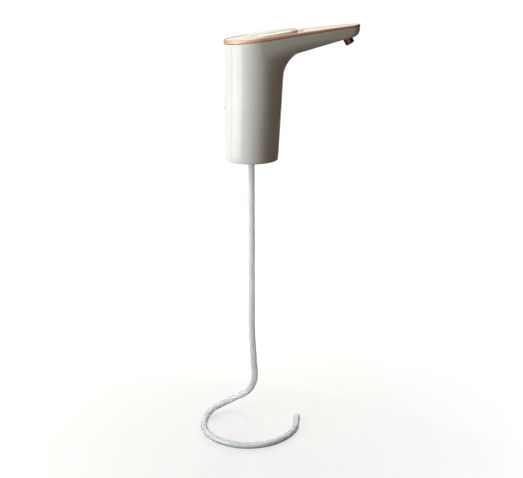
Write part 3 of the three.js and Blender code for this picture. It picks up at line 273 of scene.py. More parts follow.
def narrowed(centre, radius, front_centre, lean=LEAN, soft=0.0, keel=0.0, slim=0.0):
    """Outline round a circle and a front. How far each reaches in every direction is known, and
    the larger reach counts; soft lets one reach flow into the other, so that the sides bulge a
    little. The front is a circle too, which keel from 0 to 1 draws out into a long oval and slim
    makes narrower."""
    cos, sin = np.cos(ANGLES), np.sin(ANGLES)
    front_radius = radius - lean * (front_centre - centre)
    long = front_radius + keel * (radius - front_radius)
    middle = front_centre + front_radius - long
    wide = math.sqrt(((radius - lean * (middle - centre)) ** 2 - (lean * long) ** 2) / (1 - lean ** 2))
    wide *= 1 - slim
    oval = np.hypot(long * cos, wide * sin)
    ahead = (middle - centre) * cos + oval - radius
    turn_rate = -(middle - centre) * sin + (wide ** 2 - long ** 2) * sin * cos / oval
    root = np.sqrt(ahead ** 2 + soft ** 2)
    share = np.where(root > TINY, ahead / np.maximum(root, TINY), 1.0)
    reach = centre * cos + radius + (ahead + root) / 2
    slope = -centre * sin + turn_rate * (1 + share) / 2
    return np.stack([reach * cos - slope * sin, reach * sin + slope * cos], axis=1)


def plan(centre, radius, front, soft=0.0, keel=0.0, slim=0.0):
    front_centre = (front - radius - LEAN * centre) / (1 - LEAN)
    return narrowed(centre, radius, max(front_centre, centre), soft=soft, keel=keel, slim=slim)


def whole_plan(inset):
    return plan(HEAD_X, HEAD_R - inset, REACH - inset)


def plane(x):
    """The straight slope that the top follows."""
    return PLATE_Z + x * math.tan(PLATE_SLOPE)


def plate(x):
    """The top itself, which bends down a little towards the tip."""
    return plane(x) - TIP_DROP * max(0, (x - DROP_FROM) / (REACH - DROP_FROM)) ** 2


def seam(x):
    share = (x - (HEAD_X - HEAD_R)) / (REACH - (HEAD_X - HEAD_R))
    return plane(x) - BAND_BACK - (BAND_TIP - BAND_BACK) * share


def at_height(outline, height):
    """Outline points lifted to the height that a function of x gives."""
    return [(x, y, height(x)) for x, y in outline]


# %% Front edge of the column, fillet, arm and nose
def turn(radius, angle):
    return np.array([radius * math.sin(angle), -radius * math.cos(angle)])


COLUMN_LEAN = math.atan2(BEND_Z, HEAD_X + HEAD_R - BASE_R)
fillet_centre = np.array([HEAD_X + HEAD_R, BEND_Z]) + turn(FILLET_R, COLUMN_LEAN)
nose_centre = np.array([REACH - NOSE_R, plane(REACH - NOSE_R) - NOSE_DROP])
arm_span = nose_centre - fillet_centre
ARM_SLOPE = math.atan2(arm_span[1], arm_span[0]) - math.asin((FILLET_R + NOSE_R) / np.hypot(*arm_span))
print(f"arm underside rises {math.degrees(ARM_SLOPE):.1f} degrees")


def front_path(inset, fillet_steps=26, arm_steps=14, nose_steps=12):
    """Side view of the front edge, from the column's top over fillet, arm and nose to the seam."""
    fillet, nose = FILLET_R + inset, NOSE_R - inset
    start = np.array([HEAD_X + HEAD_R - inset, BEND_Z])
    centre = start + turn(fillet, COLUMN_LEAN)
    path = [start]
    for share in np.linspace(0, 1, fillet_steps + 1)[1:]:
        path.append(centre - turn(fillet, COLUMN_LEAN + (ARM_SLOPE - COLUMN_LEAN) * share))
    arm_start = path[-1]
    length = REACH - inset - nose + turn(nose, ARM_SLOPE)[0] - arm_start[0]
    for share in np.linspace(0, 1, arm_steps + 1)[1:]:
        path.append(arm_start + np.array([length * share, length * share * math.tan(ARM_SLOPE)]))
    nose_middle = path[-1] - turn(nose, ARM_SLOPE)
    for share in np.linspace(0, 1, nose_steps + 1)[1:]:
        path.append(nose_middle + turn(nose, ARM_SLOPE + (math.pi / 2 - ARM_SLOPE) * share))
    path.append(np.array([REACH - inset, seam(REACH - inset)]))
    return path


# %% [markdown]
# ## Housing
# One glossy moulding makes the column, the fillet, the arm and the nose. Sculpting it from a
# primitive would lose the even flow of its section, so it is lofted: ring after ring climbs the
# column, fans out along the arm's underside and ends at the seam below the band. Under the arm
# the front of a ring is a long narrow oval, so that the arm's sides lean in and round under. A
# second set of rings makes the inside of the wall. The mouth of the spout and the pocket of the
# charging port are cut out of it with booleans.

# %% Rings of the housing
SIDE_FLOW, FLOW_REACH, FLOW_FADE = 0.3, 14.0, 0.8
KEEL_END, SLIM, SLIM_START = 16.0, 0.5, 24.0


def column_at(height, inset):
    """Middle and radius of the column at a height, drawn in by inset."""
    share = height / BEND_Z
    return HEAD_X * share, BASE_R + (HEAD_R - BASE_R) * share - inset


def column_ring(inset, height):
    middle, radius = column_at(height, inset)
    return at_height(plan(middle, radius, middle + radius), lambda x: height)


def skin_rings(inset):
    """Rings from the foot of the column to the seam."""
    rings = [column_ring(inset, height) for height in np.linspace(0, BEND_Z, 13)[:-1]]
    path = front_path(inset)
    lengths = np.concatenate([[0], np.cumsum([np.hypot(*(b - a)) for a, b in zip(path, path[1:])])])
    radius = HEAD_R - inset
    back = HEAD_X - radius
    for front, length in zip(path, lengths):
        share = length / lengths[-1]
        low = BEND_Z + (seam(back) - BEND_Z) * share
        slope = (front[1] - low) / (front[0] - back)
        spread = front[0] - path[0][0]
        soft = SIDE_FLOW * spread / (1 + spread / FLOW_REACH) * (1 - share) ** FLOW_FADE
        keel = min(1, (REACH - inset - front[0]) / KEEL_END)
        slim = SLIM * min(1, spread / SLIM_START) * (1 - share)
        outline = plan(HEAD_X, radius, front[0], soft, keel, slim)
        rings.append(at_height(outline, lambda x: low + slope * (x - back)))
    return rings


def seam_ring(inset, drop):
    return at_height(whole_plan(inset), lambda x: seam(x) - drop)


outer = skin_rings(0)
inner = skin_rings(WALL)
rim = [column_ring(WALL, 0), column_ring(0.9, 0), column_ring(0.45, 0.12), column_ring(0.12, 0.45)]
lip = [seam_ring(0, 0.5), seam_ring(0.15, 0.15), seam_ring(0.5, 0)]
rings = [*rim, column_ring(0, 0.9), *outer[1:-1], *lip, *inner[::-1][:-1]]
points = [np.array(p) * MM for ring in rings for p in ring]
housing = weld(add_object("housing_skin", points, ring_faces(len(rings), SIDES, closed=True)))
print("housing rings:", len(rings))

# %% Cutters for the spout and the charging port
NOZZLE_TILT, NOZZLE_BACK, NOZZLE_DOWN, NOZZLE_HOLE = math.radians(30), 10.7, 15.8, 5.8
nozzle_exit = Vector((REACH - NOZZLE_BACK, 0, nose_centre[1] - NOZZLE_DOWN)) * MM
on_nozzle = Matrix.Translation(nozzle_exit) @ Matrix.Rotation(-NOZZLE_TILT, 4, "Y")
PORT_Z, PORT_BLOCK, POCKET_BLOCK = 67.6, (9.6, 3.8, 1.9), (16.1, 12.1, 1.6)
BEHIND, POCKET_FLOOR, PORT_END = -40, -29.62, -20


def cylinder(radius, low, high, place=None, steps=64):
    return turned("cutter", [(0, low), (radius, low), (radius, high), (0, high)], steps, place=place)


def rounded_rectangle(width, height, corner, per_corner=10):
    """Corner arcs of a rounded rectangle about the origin, anticlockwise."""
    points = []
    for sx, sy, start in ((1, -1, -90), (1, 1, 0), (-1, 1, 90), (-1, -1, 180)):
        for angle in np.radians(np.linspace(start, start + 90, per_corner)):
            points.append((sx * (width / 2 - corner) + corner * math.cos(angle),
                           sy * (height / 2 - corner) + corner * math.sin(angle)))
    return points


def slab_through_back(block, middle, x_from, x_to):
    """A block of width, height and corner, from x_from to x_to, with its middle at a height."""
    outline = rounded_rectangle(*block)
    return stack("cutter", [[(x, y, z + middle) for y, z in outline] for x in (x_from, x_to)])


spout_mouth = cylinder(NOZZLE_HOLE, -4, 14, on_nozzle)
cover_pocket = slab_through_back(POCKET_BLOCK, PORT_Z - 1.6, BEHIND, POCKET_FLOOR)
port_hole = slab_through_back(PORT_BLOCK, PORT_Z, BEHIND, PORT_END)
cut(housing, [spout_mouth, cover_pocket, port_hole])
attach(housing, "pump_head")
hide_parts("main_housing")
print("housing faces:", len(housing.data.polygons))

# %% [markdown]
# ## Trim band
# A metallic band runs round the top edge. Its section is the same all the way, so it follows a
# path: a Geometry Nodes tree sweeps a rounded bar along the outline of the plate, with a thinner
# tongue under it that reaches down inside the wall. The sweep is flat at first. A last step lays
# it onto the sloping top and makes it lower towards the tip, as the real one is.

# %% Tree helpers


def put(value, socket):
    """Links an output to a socket, or sets its value. A node stands for its first output."""
    if isinstance(value, bpy.types.Node):
        value = value.outputs[0]
    if isinstance(value, bpy.types.NodeSocket):
        socket.id_data.links.new(value, socket)
    else:
        socket.default_value = value


def settle(node, **settings):
    """Gives a node its settings. Each is a property or an input, and an underscore stands for the
    space in an input's name. All that is in a list goes to one input."""
    for key, value in settings.items():
        socket = node.inputs.get(key.replace("_", " "))
        if socket is None:
            setattr(node, key, value)
            continue
        for single in value if isinstance(value, list) else [value]:
            put(single, socket)
    return node


def add_node(tree, kind, **settings):
    return settle(tree.nodes.new(kind), **settings)


def maths(tree, operation, a, b):
    """One sum of two numbers, each of which may come from another node."""
    node = add_node(tree, "ShaderNodeMath", operation=operation)
    put(a, node.inputs[0])
    put(b, node.inputs[1])
    return node


def new_tree(name, sizes):
    """A geometry tree with a named input for each size. Returns tree, entry and exit."""
    tree = bpy.data.node_groups.new(name, "GeometryNodeTree")
    tree.interface.new_socket("Geometry", in_out="INPUT", socket_type="NodeSocketGeometry")
    for label, value in sizes.items():
        socket = tree.interface.new_socket(label, in_out="INPUT", socket_type="NodeSocketFloat")
        socket.default_value = value
    tree.interface.new_socket("Geometry", in_out="OUTPUT", socket_type="NodeSocketGeometry")
    return tree, add_node(tree, "NodeGroupInput"), add_node(tree, "NodeGroupOutput")


def add(kind, **settings):
    """A node in the tree that is being built."""
    return add_node(tree, kind, **settings)


def sized(operation, a, b):
    """A sum in the tree that is being built."""
    return maths(tree, operation, a, b)


def end_tree(geometries, material):
    """Joins what was made, makes real meshes of the instances and sets the material."""
    both = add("GeometryNodeJoinGeometry", Geometry=geometries)
    real = add("GeometryNodeRealizeInstances", Geometry=both)
    settle(leave, Geometry=add("GeometryNodeSetMaterial", Material=material, Geometry=real))


def bake_tree(piece, tree, sizes):
    """Runs the tree on a piece, keeps the result as a plain mesh and removes the modifier."""
    modifier = piece.modifiers.new(tree.name, "NODES")
    modifier.node_group = tree
    for item in tree.interface.items_tree:
        if item.item_type == "SOCKET" and item.in_out == "INPUT" and item.name in sizes:
            modifier[item.identifier] = sizes[item.name]
    plain_mesh(piece)
    return weld(piece)


def path_object(name, points):
    """A closed line of points, to be swept."""
    count = len(points)
    edges = [(i, (i + 1) % count) for i in range(count)]
    mesh = bpy.data.meshes.new(name)
    mesh.from_pydata([tuple(np.array(p) * MM) for p in points], edges, [])
    piece = bpy.data.objects.new(name, mesh)
    bpy.context.collection.objects.link(piece)
    return piece


# %% Materials the trees need
band_metal = bpy.data.materials.new("rose_gold_band")
screw_steel = bpy.data.materials.new("bright_screw_steel")

# %% Sweep of the band
BAND_PROUD, BAND_SEAM, TONGUE_DOWN = 0.35, 0.12, 1.8
BAND_SIZES = {"Width": (RIM + BULGE) * MM, "Height": (BAND_BACK + BAND_PROUD - BAND_SEAM) * MM,
              "Edge": 1.1 * MM, "Tongue Width": 1.2 * MM, "Tongue Height": 5.2 * MM,
              "Tongue Inset": 2.7 * MM}
tree, entry, leave = new_tree("sweep_trim_band", BAND_SIZES)
line = add("GeometryNodeMeshToCurve", Mesh=entry)
upright = add("GeometryNodeSetCurveNormal", mode="Z_UP", Curve=line)


def swept_bar(width, height, edge, aside, down):
    """A rounded bar along the path, its middle moved aside and down. Here the sweep's own x points
    outwards and its y down."""
    bar = add("GeometryNodeCurvePrimitiveQuadrilateral", Width=width, Height=height)
    rounded = add("GeometryNodeFilletCurve", mode="POLY", Count=5, Curve=bar, Radius=edge)
    place = add("ShaderNodeCombineXYZ", X=aside, Y=down)
    moved = add("GeometryNodeTransform", Geometry=rounded, Translation=place)
    return add("GeometryNodeCurveToMesh", Curve=upright, Profile_Curve=moved)


width, height, edge, tongue_width, tongue_height, tongue_inset = [entry.outputs[k] for k in BAND_SIZES]
band_bar = swept_bar(width, height, edge, sized("SUBTRACT", BULGE * MM, sized("MULTIPLY", width, 0.5)),
                     sized("MULTIPLY", height, 0.5))
tongue_side = sized("SUBTRACT", sized("MULTIPLY", tongue_width, -0.5), tongue_inset)
tongue_down = sized("ADD", sized("MULTIPLY", tongue_height, 0.5), TONGUE_DOWN * MM)
tongue_bar = swept_bar(tongue_width, tongue_height, sized("MULTIPLY", edge, 0.3), tongue_side, tongue_down)

# %% Lay the flat band onto the top, lower towards the tip, and set the metal
both = add("GeometryNodeJoinGeometry", Geometry=[band_bar, tongue_bar])
flat = add("ShaderNodeSeparateXYZ", Vector=add("GeometryNodeInputPosition"))
along, across, upwards = flat.outputs
beyond = sized("DIVIDE", sized("SUBTRACT", along, DROP_FROM * MM), (REACH - DROP_FROM) * MM)
past = sized("MAXIMUM", beyond, 0)
drop = sized("MULTIPLY", sized("MULTIPLY", past, past), TIP_DROP * MM)
slope = sized("ADD", sized("MULTIPLY", along, math.tan(PLATE_SLOPE)), (PLATE_Z + BAND_PROUD) * MM)
share = sized("DIVIDE", sized("ADD", along, (HEAD_R - HEAD_X) * MM), (REACH + HEAD_R - HEAD_X) * MM)
lost = sized("ADD", sized("MULTIPLY", share, (BAND_BACK - BAND_TIP) * MM), drop)
kept_share = sized("SUBTRACT", 1.0, sized("DIVIDE", lost, (BAND_BACK + BAND_PROUD) * MM))
level = sized("ADD", sized("SUBTRACT", slope, drop), sized("MULTIPLY", upwards, kept_share))
laid = add("ShaderNodeCombineXYZ", X=along, Y=across, Z=level)
end_tree([add("GeometryNodeSetPosition", Geometry=both, Position=laid)], band_metal)
band = path_object("trim_band_sweep", at_height(whole_plan(0), lambda x: 0))
bake_tree(band, tree, BAND_SIZES)
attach(band, "pump_head")
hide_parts("trim_band")
low = min(v.co.z for v in band.data.vertices) / MM
wide = max(v.co.y for v in band.data.vertices) / MM
print(f"band: half width {wide:.2f} mm, lowest point {low:.2f} mm, faces {len(band.data.polygons)}")

# %% [markdown]
# ## Top panel and press pad
# The panel drops into the band, with a hair of a gap all round. The pad is a soft dome, 3.1 mm
# high, on a wedge that lifts its front by another 1.4 mm, which is what catches the light. Both
# are stacks of rings again: the rounding of an edge is a quarter circle of rings, and the dome
# rises ring by ring. A bevel would round both sides of an edge, while a ring stack rounds only
# what is seen.

# %% Rounded edges and places on the plate


def quarter(steps=6):
    """Shares of a quarter circle: how far in, how far up."""
    angles = np.linspace(0, math.pi / 2, steps + 1)
    return [(1 - math.cos(a), math.sin(a)) for a in angles]


def moved_by(x=0, y=0, z=0):
    return Matrix.Translation((x * MM, y * MM, z * MM))


# Sizes along the plate, heights from its surface. A ring of the opening says how much wider it
# is than the pad with its gap, a ring of the pad's side how far inside the pad's outline it runs.
to_plate = moved_by(z=PLATE_Z) @ Matrix.Rotation(-PLATE_SLOPE, 4, "Y")
PANEL_INSET, PANEL_THICK, PANEL_EDGE = 2.3, 2.2, 0.4
PAD_BACK, PAD_BACK_R, PAD_FRONT, PAD_FRONT_R = 14.0, 21.0, 38.0, 16.5
PAD_GAP, PAD_RISE, PAD_ROOF, PAD_WEDGE = 0.35, 3.1, -1.0, 1.4
PAD_LIP, PAD_EDGE, PAD_SHOULDER, DOME_POWER = 0.4, 0.5, 9.5, 2.2
OPENING = [(0, -4), (0, -0.3), (0.08, -0.1), (0.3, 0.05), (0.3, 3)]
PAD_SIDE = [(1.6, -3.7), (-1.2, -3.7), (-1.2, -2.5), (0, -2.5), (0, 0)]
PAD_MIDDLE, STEM_R, STEM_FOOT, STEM_TOP = 23.75, 3.0, -5.0, 0.9
LENS_X, LENS_HOLE_R, BOARD_TOP, POST_R, POST_BORE = 58.5, 2.07, -10.3, 2.4, 1.2
POSTS = [(-15.988, 14.985), (-15.988, -14.985), (32.048, 21.994), (32.048, -21.994)]


def pad_ring(inset, height, wedge=0.0):
    """Outline of the pad in plate coordinates; wedge is how much its front end is lifted."""
    lean = (PAD_BACK_R - PAD_FRONT_R) / (PAD_FRONT - PAD_BACK)
    back, length = PAD_BACK - PAD_BACK_R, PAD_FRONT + PAD_FRONT_R - PAD_BACK + PAD_BACK_R
    return at_height(narrowed(PAD_BACK, PAD_BACK_R - inset, PAD_FRONT, lean),
                     lambda x: height + wedge * (x - back) / length)


# %% Panel
panel_rings = [at_height(whole_plan(PANEL_INSET), lambda x: plate(x) - PANEL_THICK)]
for inwards, up in quarter():
    panel_rings.append(at_height(whole_plan(PANEL_INSET + PANEL_EDGE * inwards),
                                 lambda x: plate(x) - PANEL_EDGE * (1 - up)))
panel = stack("glossy_top_panel", panel_rings)
opening = weld(stack("cutter", [pad_ring(-PAD_GAP - wider, z) for wider, z in OPENING]), to_plate)
cut(panel, [opening, cylinder(LENS_HOLE_R, -4, 2, to_plate @ moved_by(LENS_X), 40)])
on_posts = [to_plate @ moved_by(x, y) for x, y in POSTS]
cut(panel, [cylinder(POST_R, BOARD_TOP + 0.3, -1.1, place, 28) for place in on_posts], "UNION")
cut(panel, [cylinder(POST_BORE, BOARD_TOP - 2, -2.2, place, 20) for place in on_posts])
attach(panel, "pump_head")
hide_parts("top_panel")

# %% Pad
pad_rings = [pad_ring(11, PAD_ROOF, PAD_WEDGE), pad_ring(PAD_SIDE[0][0], PAD_ROOF, PAD_WEDGE)]
pad_rings += [pad_ring(inset, z) for inset, z in PAD_SIDE]
for inwards, up in quarter():
    pad_rings.append(pad_ring(PAD_EDGE * inwards, PAD_LIP - PAD_EDGE * (1 - up), PAD_WEDGE))
for share in np.linspace(0, 1, 17)[1:]:
    dome = (PAD_RISE - PAD_LIP) * (1 - (1 - share) ** DOME_POWER)
    pad_rings.append(pad_ring(PAD_EDGE + PAD_SHOULDER * share, PAD_LIP + dome, PAD_WEDGE))
press_pad = stack("domed_press_pad", pad_rings)
cut(press_pad, [cylinder(STEM_R, STEM_FOOT, STEM_TOP, moved_by(PAD_MIDDLE), 36)], "UNION")
weld(press_pad, to_plate)
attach(press_pad, "press_pad")
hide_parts("press_pad")
print("panel faces:", len(panel.data.polygons), "pad faces:", len(press_pad.data.polygons))

# %% Indicator lens, flush with the plate
lens_profile = [(0, -3.3), (2.8, -3.3), (2.8, -2.5), (2.05, -2.5), (2.05, -0.12), (1.95, -0.02),
                (1.0, 0), (0, 0)]
lens = turned("indicator_window", lens_profile, 48, place=to_plate @ moved_by(LENS_X))
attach(lens, "pump_head")
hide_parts("indicator_lens")

# %% [markdown]
# ## Spout
# A short metal spout leans outwards under the arm's tip. It is round, so its half section is
# turned about the axis like work on a lathe. Its lip is rounded, and a shallow groove above the
# lip is what one sees on a turned metal tip. Inside sits a disc with six holes that calms the
# water. Perforations repeat, so a Geometry Nodes tree punches them: a ring of small circles is
# filled together with the outer circle, and the sheet is given its thickness.

# %% Spout
SPOUT_R, SPOUT_MOUTH, LIP, MOUTH_EDGE, DISC_Z = 5.5, 4.4, 0.5, 0.3, 1.9
spout_profile = [(SPOUT_MOUTH + LIP * i, MOUTH_EDGE - MOUTH_EDGE * u) for i, u in quarter(5)]
spout_profile += [(SPOUT_R - LIP * (1 - u), LIP * i) for i, u in quarter(5)]
spout_profile += [(5.5, 1.5), (5.33, 1.6), (5.33, 1.95), (5.5, 2.05), (5.5, 11), (6.8, 11), (6.9, 11.1),
                  (6.9, 11.9), (6.8, 12), (3, 12), (3, 15), (1.5, 15), (1.5, 4.6), (SPOUT_MOUTH, 4.6)]
spout = turned("leaning_spout", spout_profile, place=on_nozzle)
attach(spout, "pump_head")
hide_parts("nozzle")

# %% Disc with holes
disc_plastic = bpy.data.materials.new("moulded_acetal")
DISC_SIZES = {"Radius": 4.1 * MM, "Hole Radius": 0.6 * MM, "Hole Circle": 2.0 * MM, "Thickness": 2.4 * MM}
tree, entry, leave = new_tree("punch_holes", DISC_SIZES)
radius, hole_radius, hole_circle, thickness = [entry.outputs[k] for k in DISC_SIZES]
rim_circle = add("GeometryNodeCurvePrimitiveCircle", Resolution=48, Radius=radius)
ring = add("GeometryNodeMeshCircle", Vertices=6, Radius=hole_circle)
hole = add("GeometryNodeCurvePrimitiveCircle", Resolution=20, Radius=hole_radius)
holes = add("GeometryNodeInstanceOnPoints", Points=ring, Instance=hole)
lines = add("GeometryNodeJoinGeometry", Geometry=[rim_circle, holes])
sheet = add("GeometryNodeFillCurve", Curve=add("GeometryNodeRealizeInstances", Geometry=lines))
thick = add("GeometryNodeExtrudeMesh", Individual=False, Mesh=sheet,
            Offset=add("ShaderNodeCombineXYZ", Z=1.0), Offset_Scale=thickness)
end_tree([thick, add("GeometryNodeFlipFaces", Mesh=sheet)], disc_plastic)
disc = bake_tree(path_object("calming_disc", [(0, 0, 0), (1, 0, 0)]), tree, DISC_SIZES)
weld(disc, on_nozzle @ moved_by(z=DISC_Z))
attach(disc, "pump_head")
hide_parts("nozzle_straightener")
print("disc faces:", len(disc.data.polygons))

# %% [markdown]
# ## Neck socket
# Underneath, the column is open. A moulded socket sits in it, and a silicone sleeve in the socket
# grips with three soft lips and seals under its top flange. The socket is a stack of the column's
# own rings with round cuts. The sleeve and the fitting for the tube are turned.

# %% Socket with its deck
SOCKET_R, SOCKET_DEEP, SOCKET_INSET, DECK_TOP = 28.0037, 28.0, 2.7, 31.0
SCREW_HEAD_R, SCREW_HOLE_R, HEAD_SEAT, TUBE_HOLE_R, THROUGH = 2.9, 1.7, 1.7, 5.0, 33
LUGS = [(21.221, 12.252), (-21.221, 12.252), (0, -24.504)]
CHASSIS_SCREWS = [(0, 16), (0, -16)]
collar = stack("neck_socket", [column_ring(3.1, 0), column_ring(2.82, 0.12),
                               column_ring(SOCKET_INSET, 0.4), column_ring(SOCKET_INSET, DECK_TOP)])
collar_cuts = [cylinder(SOCKET_R, -2, SOCKET_DEEP, steps=160),
               cylinder(TUBE_HOLE_R, 0, THROUGH, steps=48)]
for x, y in LUGS + CHASSIS_SCREWS:
    collar_cuts += [cylinder(SCREW_HEAD_R, 0, SOCKET_DEEP + HEAD_SEAT, moved_by(x, y), 36),
                    cylinder(SCREW_HOLE_R, 0, THROUGH, moved_by(x, y), 24)]
for tool in collar_cuts:
    cut(collar, [tool])
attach(collar, "pump_head")
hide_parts("neck_collar")

# %% Silicone sleeve with its lips
GRIP_OUT, GRIP_IN, GRIP_TOP, GRIP_BORE = 27.7037, 26.4037, 27.7, 20.2037
LIP_HEIGHTS, LIP_DEEP, LIP_HALF = (18, 12, 6), 1.2, 1.5
grip_profile = [(GRIP_IN, 2.2), (GRIP_IN + 0.15, 2.05), (GRIP_IN + 0.35, 2), (GRIP_OUT - 0.35, 2),
                (GRIP_OUT - 0.1, 2.1), (GRIP_OUT, 2.35), (GRIP_OUT, GRIP_TOP), (GRIP_BORE + 0.3, GRIP_TOP),
                (GRIP_BORE + 0.08, GRIP_TOP - 0.1), (GRIP_BORE, GRIP_TOP - 0.4), (GRIP_BORE, 26.7),
                (GRIP_BORE + 0.1, 26.4), (GRIP_BORE + 0.4, 26.3), (GRIP_IN, 26.3)]
for middle in LIP_HEIGHTS:
    for share in np.linspace(1, -1, 11):
        deep = LIP_DEEP * math.cos(share * math.pi / 2) ** 2
        grip_profile.append((GRIP_IN - deep, middle + LIP_HALF * share))
grip = turned("silicone_neck_sleeve", grip_profile, 160, crease=SOFT_CREASE)
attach(grip, "pump_head")
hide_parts("neck_grip")

# %% Push-in fitting for the tube
BARB_Z, BARB_PITCH, BARB_ROOT = 34.2, 1.633, 2.03
barb = []
for ridge in (0, 1):
    foot = BARB_Z + BARB_PITCH * (ridge + 0.5)
    barb += [(BARB_ROOT, foot), (2.3, foot + 0.04), (2.38, foot + 0.2), (BARB_ROOT, foot + 1.6)]
fitting_profile = [(1.5, 25.4), (4.3, 25.4), (4.3, 11.1), (4.6, 10.8), (4.8, 10.7), (5.9, 10.7),
                   (6.1, 10.8), (6.2, 11.1), (6.2, 25.7), (8.4, 25.7), (8.6, 25.9), (8.6, 27.7),
                   (7.25, 27.7), (7.25, 26.2), (5.75, 26.2), (5.75, 27.7), (4.7, 27.7), (4.7, 33.9),
                   (BARB_ROOT, BARB_Z), *barb, (BARB_ROOT, 39.3), (1.9, 39.45), (1.5, 39.45)]
fitting = turned("tube_fitting", fitting_profile)
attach(fitting, "pump_head")
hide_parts("inlet_fitting")

# %% [markdown]
# ## Hoses inside
# Two silicone hoses carry the water: a short one from the fitting to the pump, and a long one
# that climbs beside the motor, crosses over the battery and runs along the arm. They are swept
# like the intake tube, along the model's own route.

# %% Hoses
HOSE_R, HOSE_BORE, HOSE_SIDES = 3.5 * MM, 2.9 * MM, 28
suction_route = np.array([(0, 0, z) for z in np.linspace(34.5, 44.7, 6)]) * MM
delivery_points = [
    (-18.768, 15.748, 59.9), (-18.768, 15.748, 67.9), (-18.768, 15.748, 77.95), (-18.768, 15.748, 96),
    (-17.583, 15.551, 106.576), (-10.713, 14.41, 117.724), (4.924, 11.811, 124.584), (22.93, 8.819, 126.636),
    (40.936, 5.827, 128.687), (57.994, 2.992, 130.631), (76, 0, 134.181), (92.175, 0, 140.923),
    (95.571, 0, 141.77), (102.557, 0, 143.512),
]
delivery_route = smooth_route([np.array(p) for p in delivery_points], 8) * MM
for name, route, node in (("suction_hose_sweep", suction_route, "suction_hose"),
                          ("delivery_hose_sweep", delivery_route, "delivery_hose")):
    hose = swept_tube(name, route, HOSE_R, HOSE_BORE, HOSE_SIDES)
    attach(hose, "pump_head")
    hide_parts(node)

# %% [markdown]
# ## Port cover
# At the back a soft cover closes the charging port. It is a piece of the housing's own curve, so
# its rings are rounded rectangles laid onto the column's surface. A low ridge near its top gives
# the fingernail something to pull, and its tail, under the hinge line, is fixed to the housing.

# %% Cover on the column's curve
COVER_EDGE, HAIR = 0.3, 0.001  # the hair keeps the two half circles of a stadium apart


def column_back(y, z, inset):
    """x of the column's back at a place, drawn in by inset."""
    middle, radius = column_at(z, inset)
    return middle - math.sqrt(radius * radius - y * y)


def curved_patch(name, width, height, middle, thick, proud=0.0, corner=1.2):
    """A rounded rectangle on the column's back: flat edges, rounded outer edge, curved faces."""
    def ring(scale, shrink, inset):
        outline = rounded_rectangle(width - 2 * shrink, height - 2 * shrink, corner)
        return [(column_back(y * scale, middle + z * scale, inset), y * scale, middle + z * scale)
                for y, z in outline]
    scales = (0.04, 0.35, 0.7, 1)
    rings = [ring(scale, 0, thick) for scale in scales]
    rings += [ring(1, COVER_EDGE * i, COVER_EDGE - COVER_EDGE * u - proud) for i, u in quarter(5)]
    rings += [ring(scale, COVER_EDGE, -proud) for scale in scales[::-1][1:]]
    return stack(name, rings)


def slot_block(name, width, height, middle, x_from, x_to):
    """A stadium-shaped block with a rounded inner end."""
    corner = height / 2 - HAIR
    rings = [[(x_from, y, middle + z) for y, z in rounded_rectangle(width, height, corner)]]
    for i, u in quarter(5):
        shrink = COVER_EDGE * i
        outline = rounded_rectangle(width - 2 * shrink, height - 2 * shrink, corner - shrink)
        rings.append([(x_to - COVER_EDGE + COVER_EDGE * u, y, middle + z) for y, z in outline])
    return stack(name, rings)


cover = curved_patch("soft_port_cover", 15.4, 8.4, PORT_Z, 1.1)
face = column_back(0, PORT_Z, 0)
plug = slot_block("cutter", 8.6, 2.8, PORT_Z, face + 0.7, face + 1.9)
ridge = curved_patch("cutter", 7.0, 0.8, PORT_Z + 2.9, 0.5, proud=0.22, corner=0.39)
cut(cover, [plug], "UNION")
cut(cover, [ridge], "UNION")
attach(cover, "port_cover")
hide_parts("port_cover")
cover_tail = curved_patch("port_cover_tail_patch", 6.0, 2.4, 61.9, 1.1, corner=0.6)
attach(cover_tail, "pump_head")
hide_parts("port_cover_tail")
print(f"port cover face at x = {face:.2f} mm")

# %% [markdown]
# ## Screws
# Fifteen screws hold the inside together. They are alike apart from their size, so one Geometry
# Nodes tree makes a head with a six-sided recess and a threaded shank, puts them on fifteen
# points and stretches each by the sizes that its point carries. Placing fifteen copies by hand
# would also work, but one change of the thread would then be fifteen changes.

# %% Points that carry the screws' sizes: place, axis, shank and head radius, head, shank length
UP = (0, 0, 1)
PLATE_UP = (-math.sin(PLATE_SLOPE), 0, math.cos(PLATE_SLOPE))
SMALL, MEDIUM, LARGE = (0.9, 1.8, 1.2), (1.2, 2.3, 1.4), (1.4, 2.6, 1.4)
screws = []
for x, y in POSTS:
    seat = to_plate @ Vector((x * MM, y * MM, (BOARD_TOP - 1.9) * MM))
    screws.append((seat / MM, PLATE_UP, *SMALL, 6.0))
screws += [((x, y, 44.7), UP, *MEDIUM, 9.0) for x in (-10.485, 10.485) for y in (-7.342, 7.342)]
screws += [((x, y, 29.4), UP, *LARGE, 9.5) for x, y in LUGS]
screws += [((x, y, 29.4), UP, *LARGE, 3.9) for x, y in CHASSIS_SCREWS]
screws += [((-24.497, y, 77.0), (1, 0, 0), *SMALL, 4.4) for y in (-6.5, 6.5)]
screw_mesh = bpy.data.meshes.new("screw_set")
screw_mesh.from_pydata([tuple(np.array(s[0]) * MM) for s in screws], [], [])
columns = {"axis": [s[1] for s in screws], "head": [(s[3] * MM, s[3] * MM, s[4] * MM) for s in screws],
           "shank": [(s[2] * MM, s[2] * MM, s[5] * MM) for s in screws]}
for key, values in columns.items():
    attribute = screw_mesh.attributes.new(key, "FLOAT_VECTOR", "POINT")
    attribute.data.foreach_set("vector", np.array(values, dtype=np.float32).ravel())
screw_set = bpy.data.objects.new("screw_set", screw_mesh)
bpy.context.collection.objects.link(screw_set)

# %% Tree of the screws
SCREW_SIZES = {"Recess Width": 0.55, "Recess Depth": 0.5, "Thread Turns": 9.0, "Thread Height": 0.16}
tree, entry, leave = new_tree("set_screws", SCREW_SIZES)


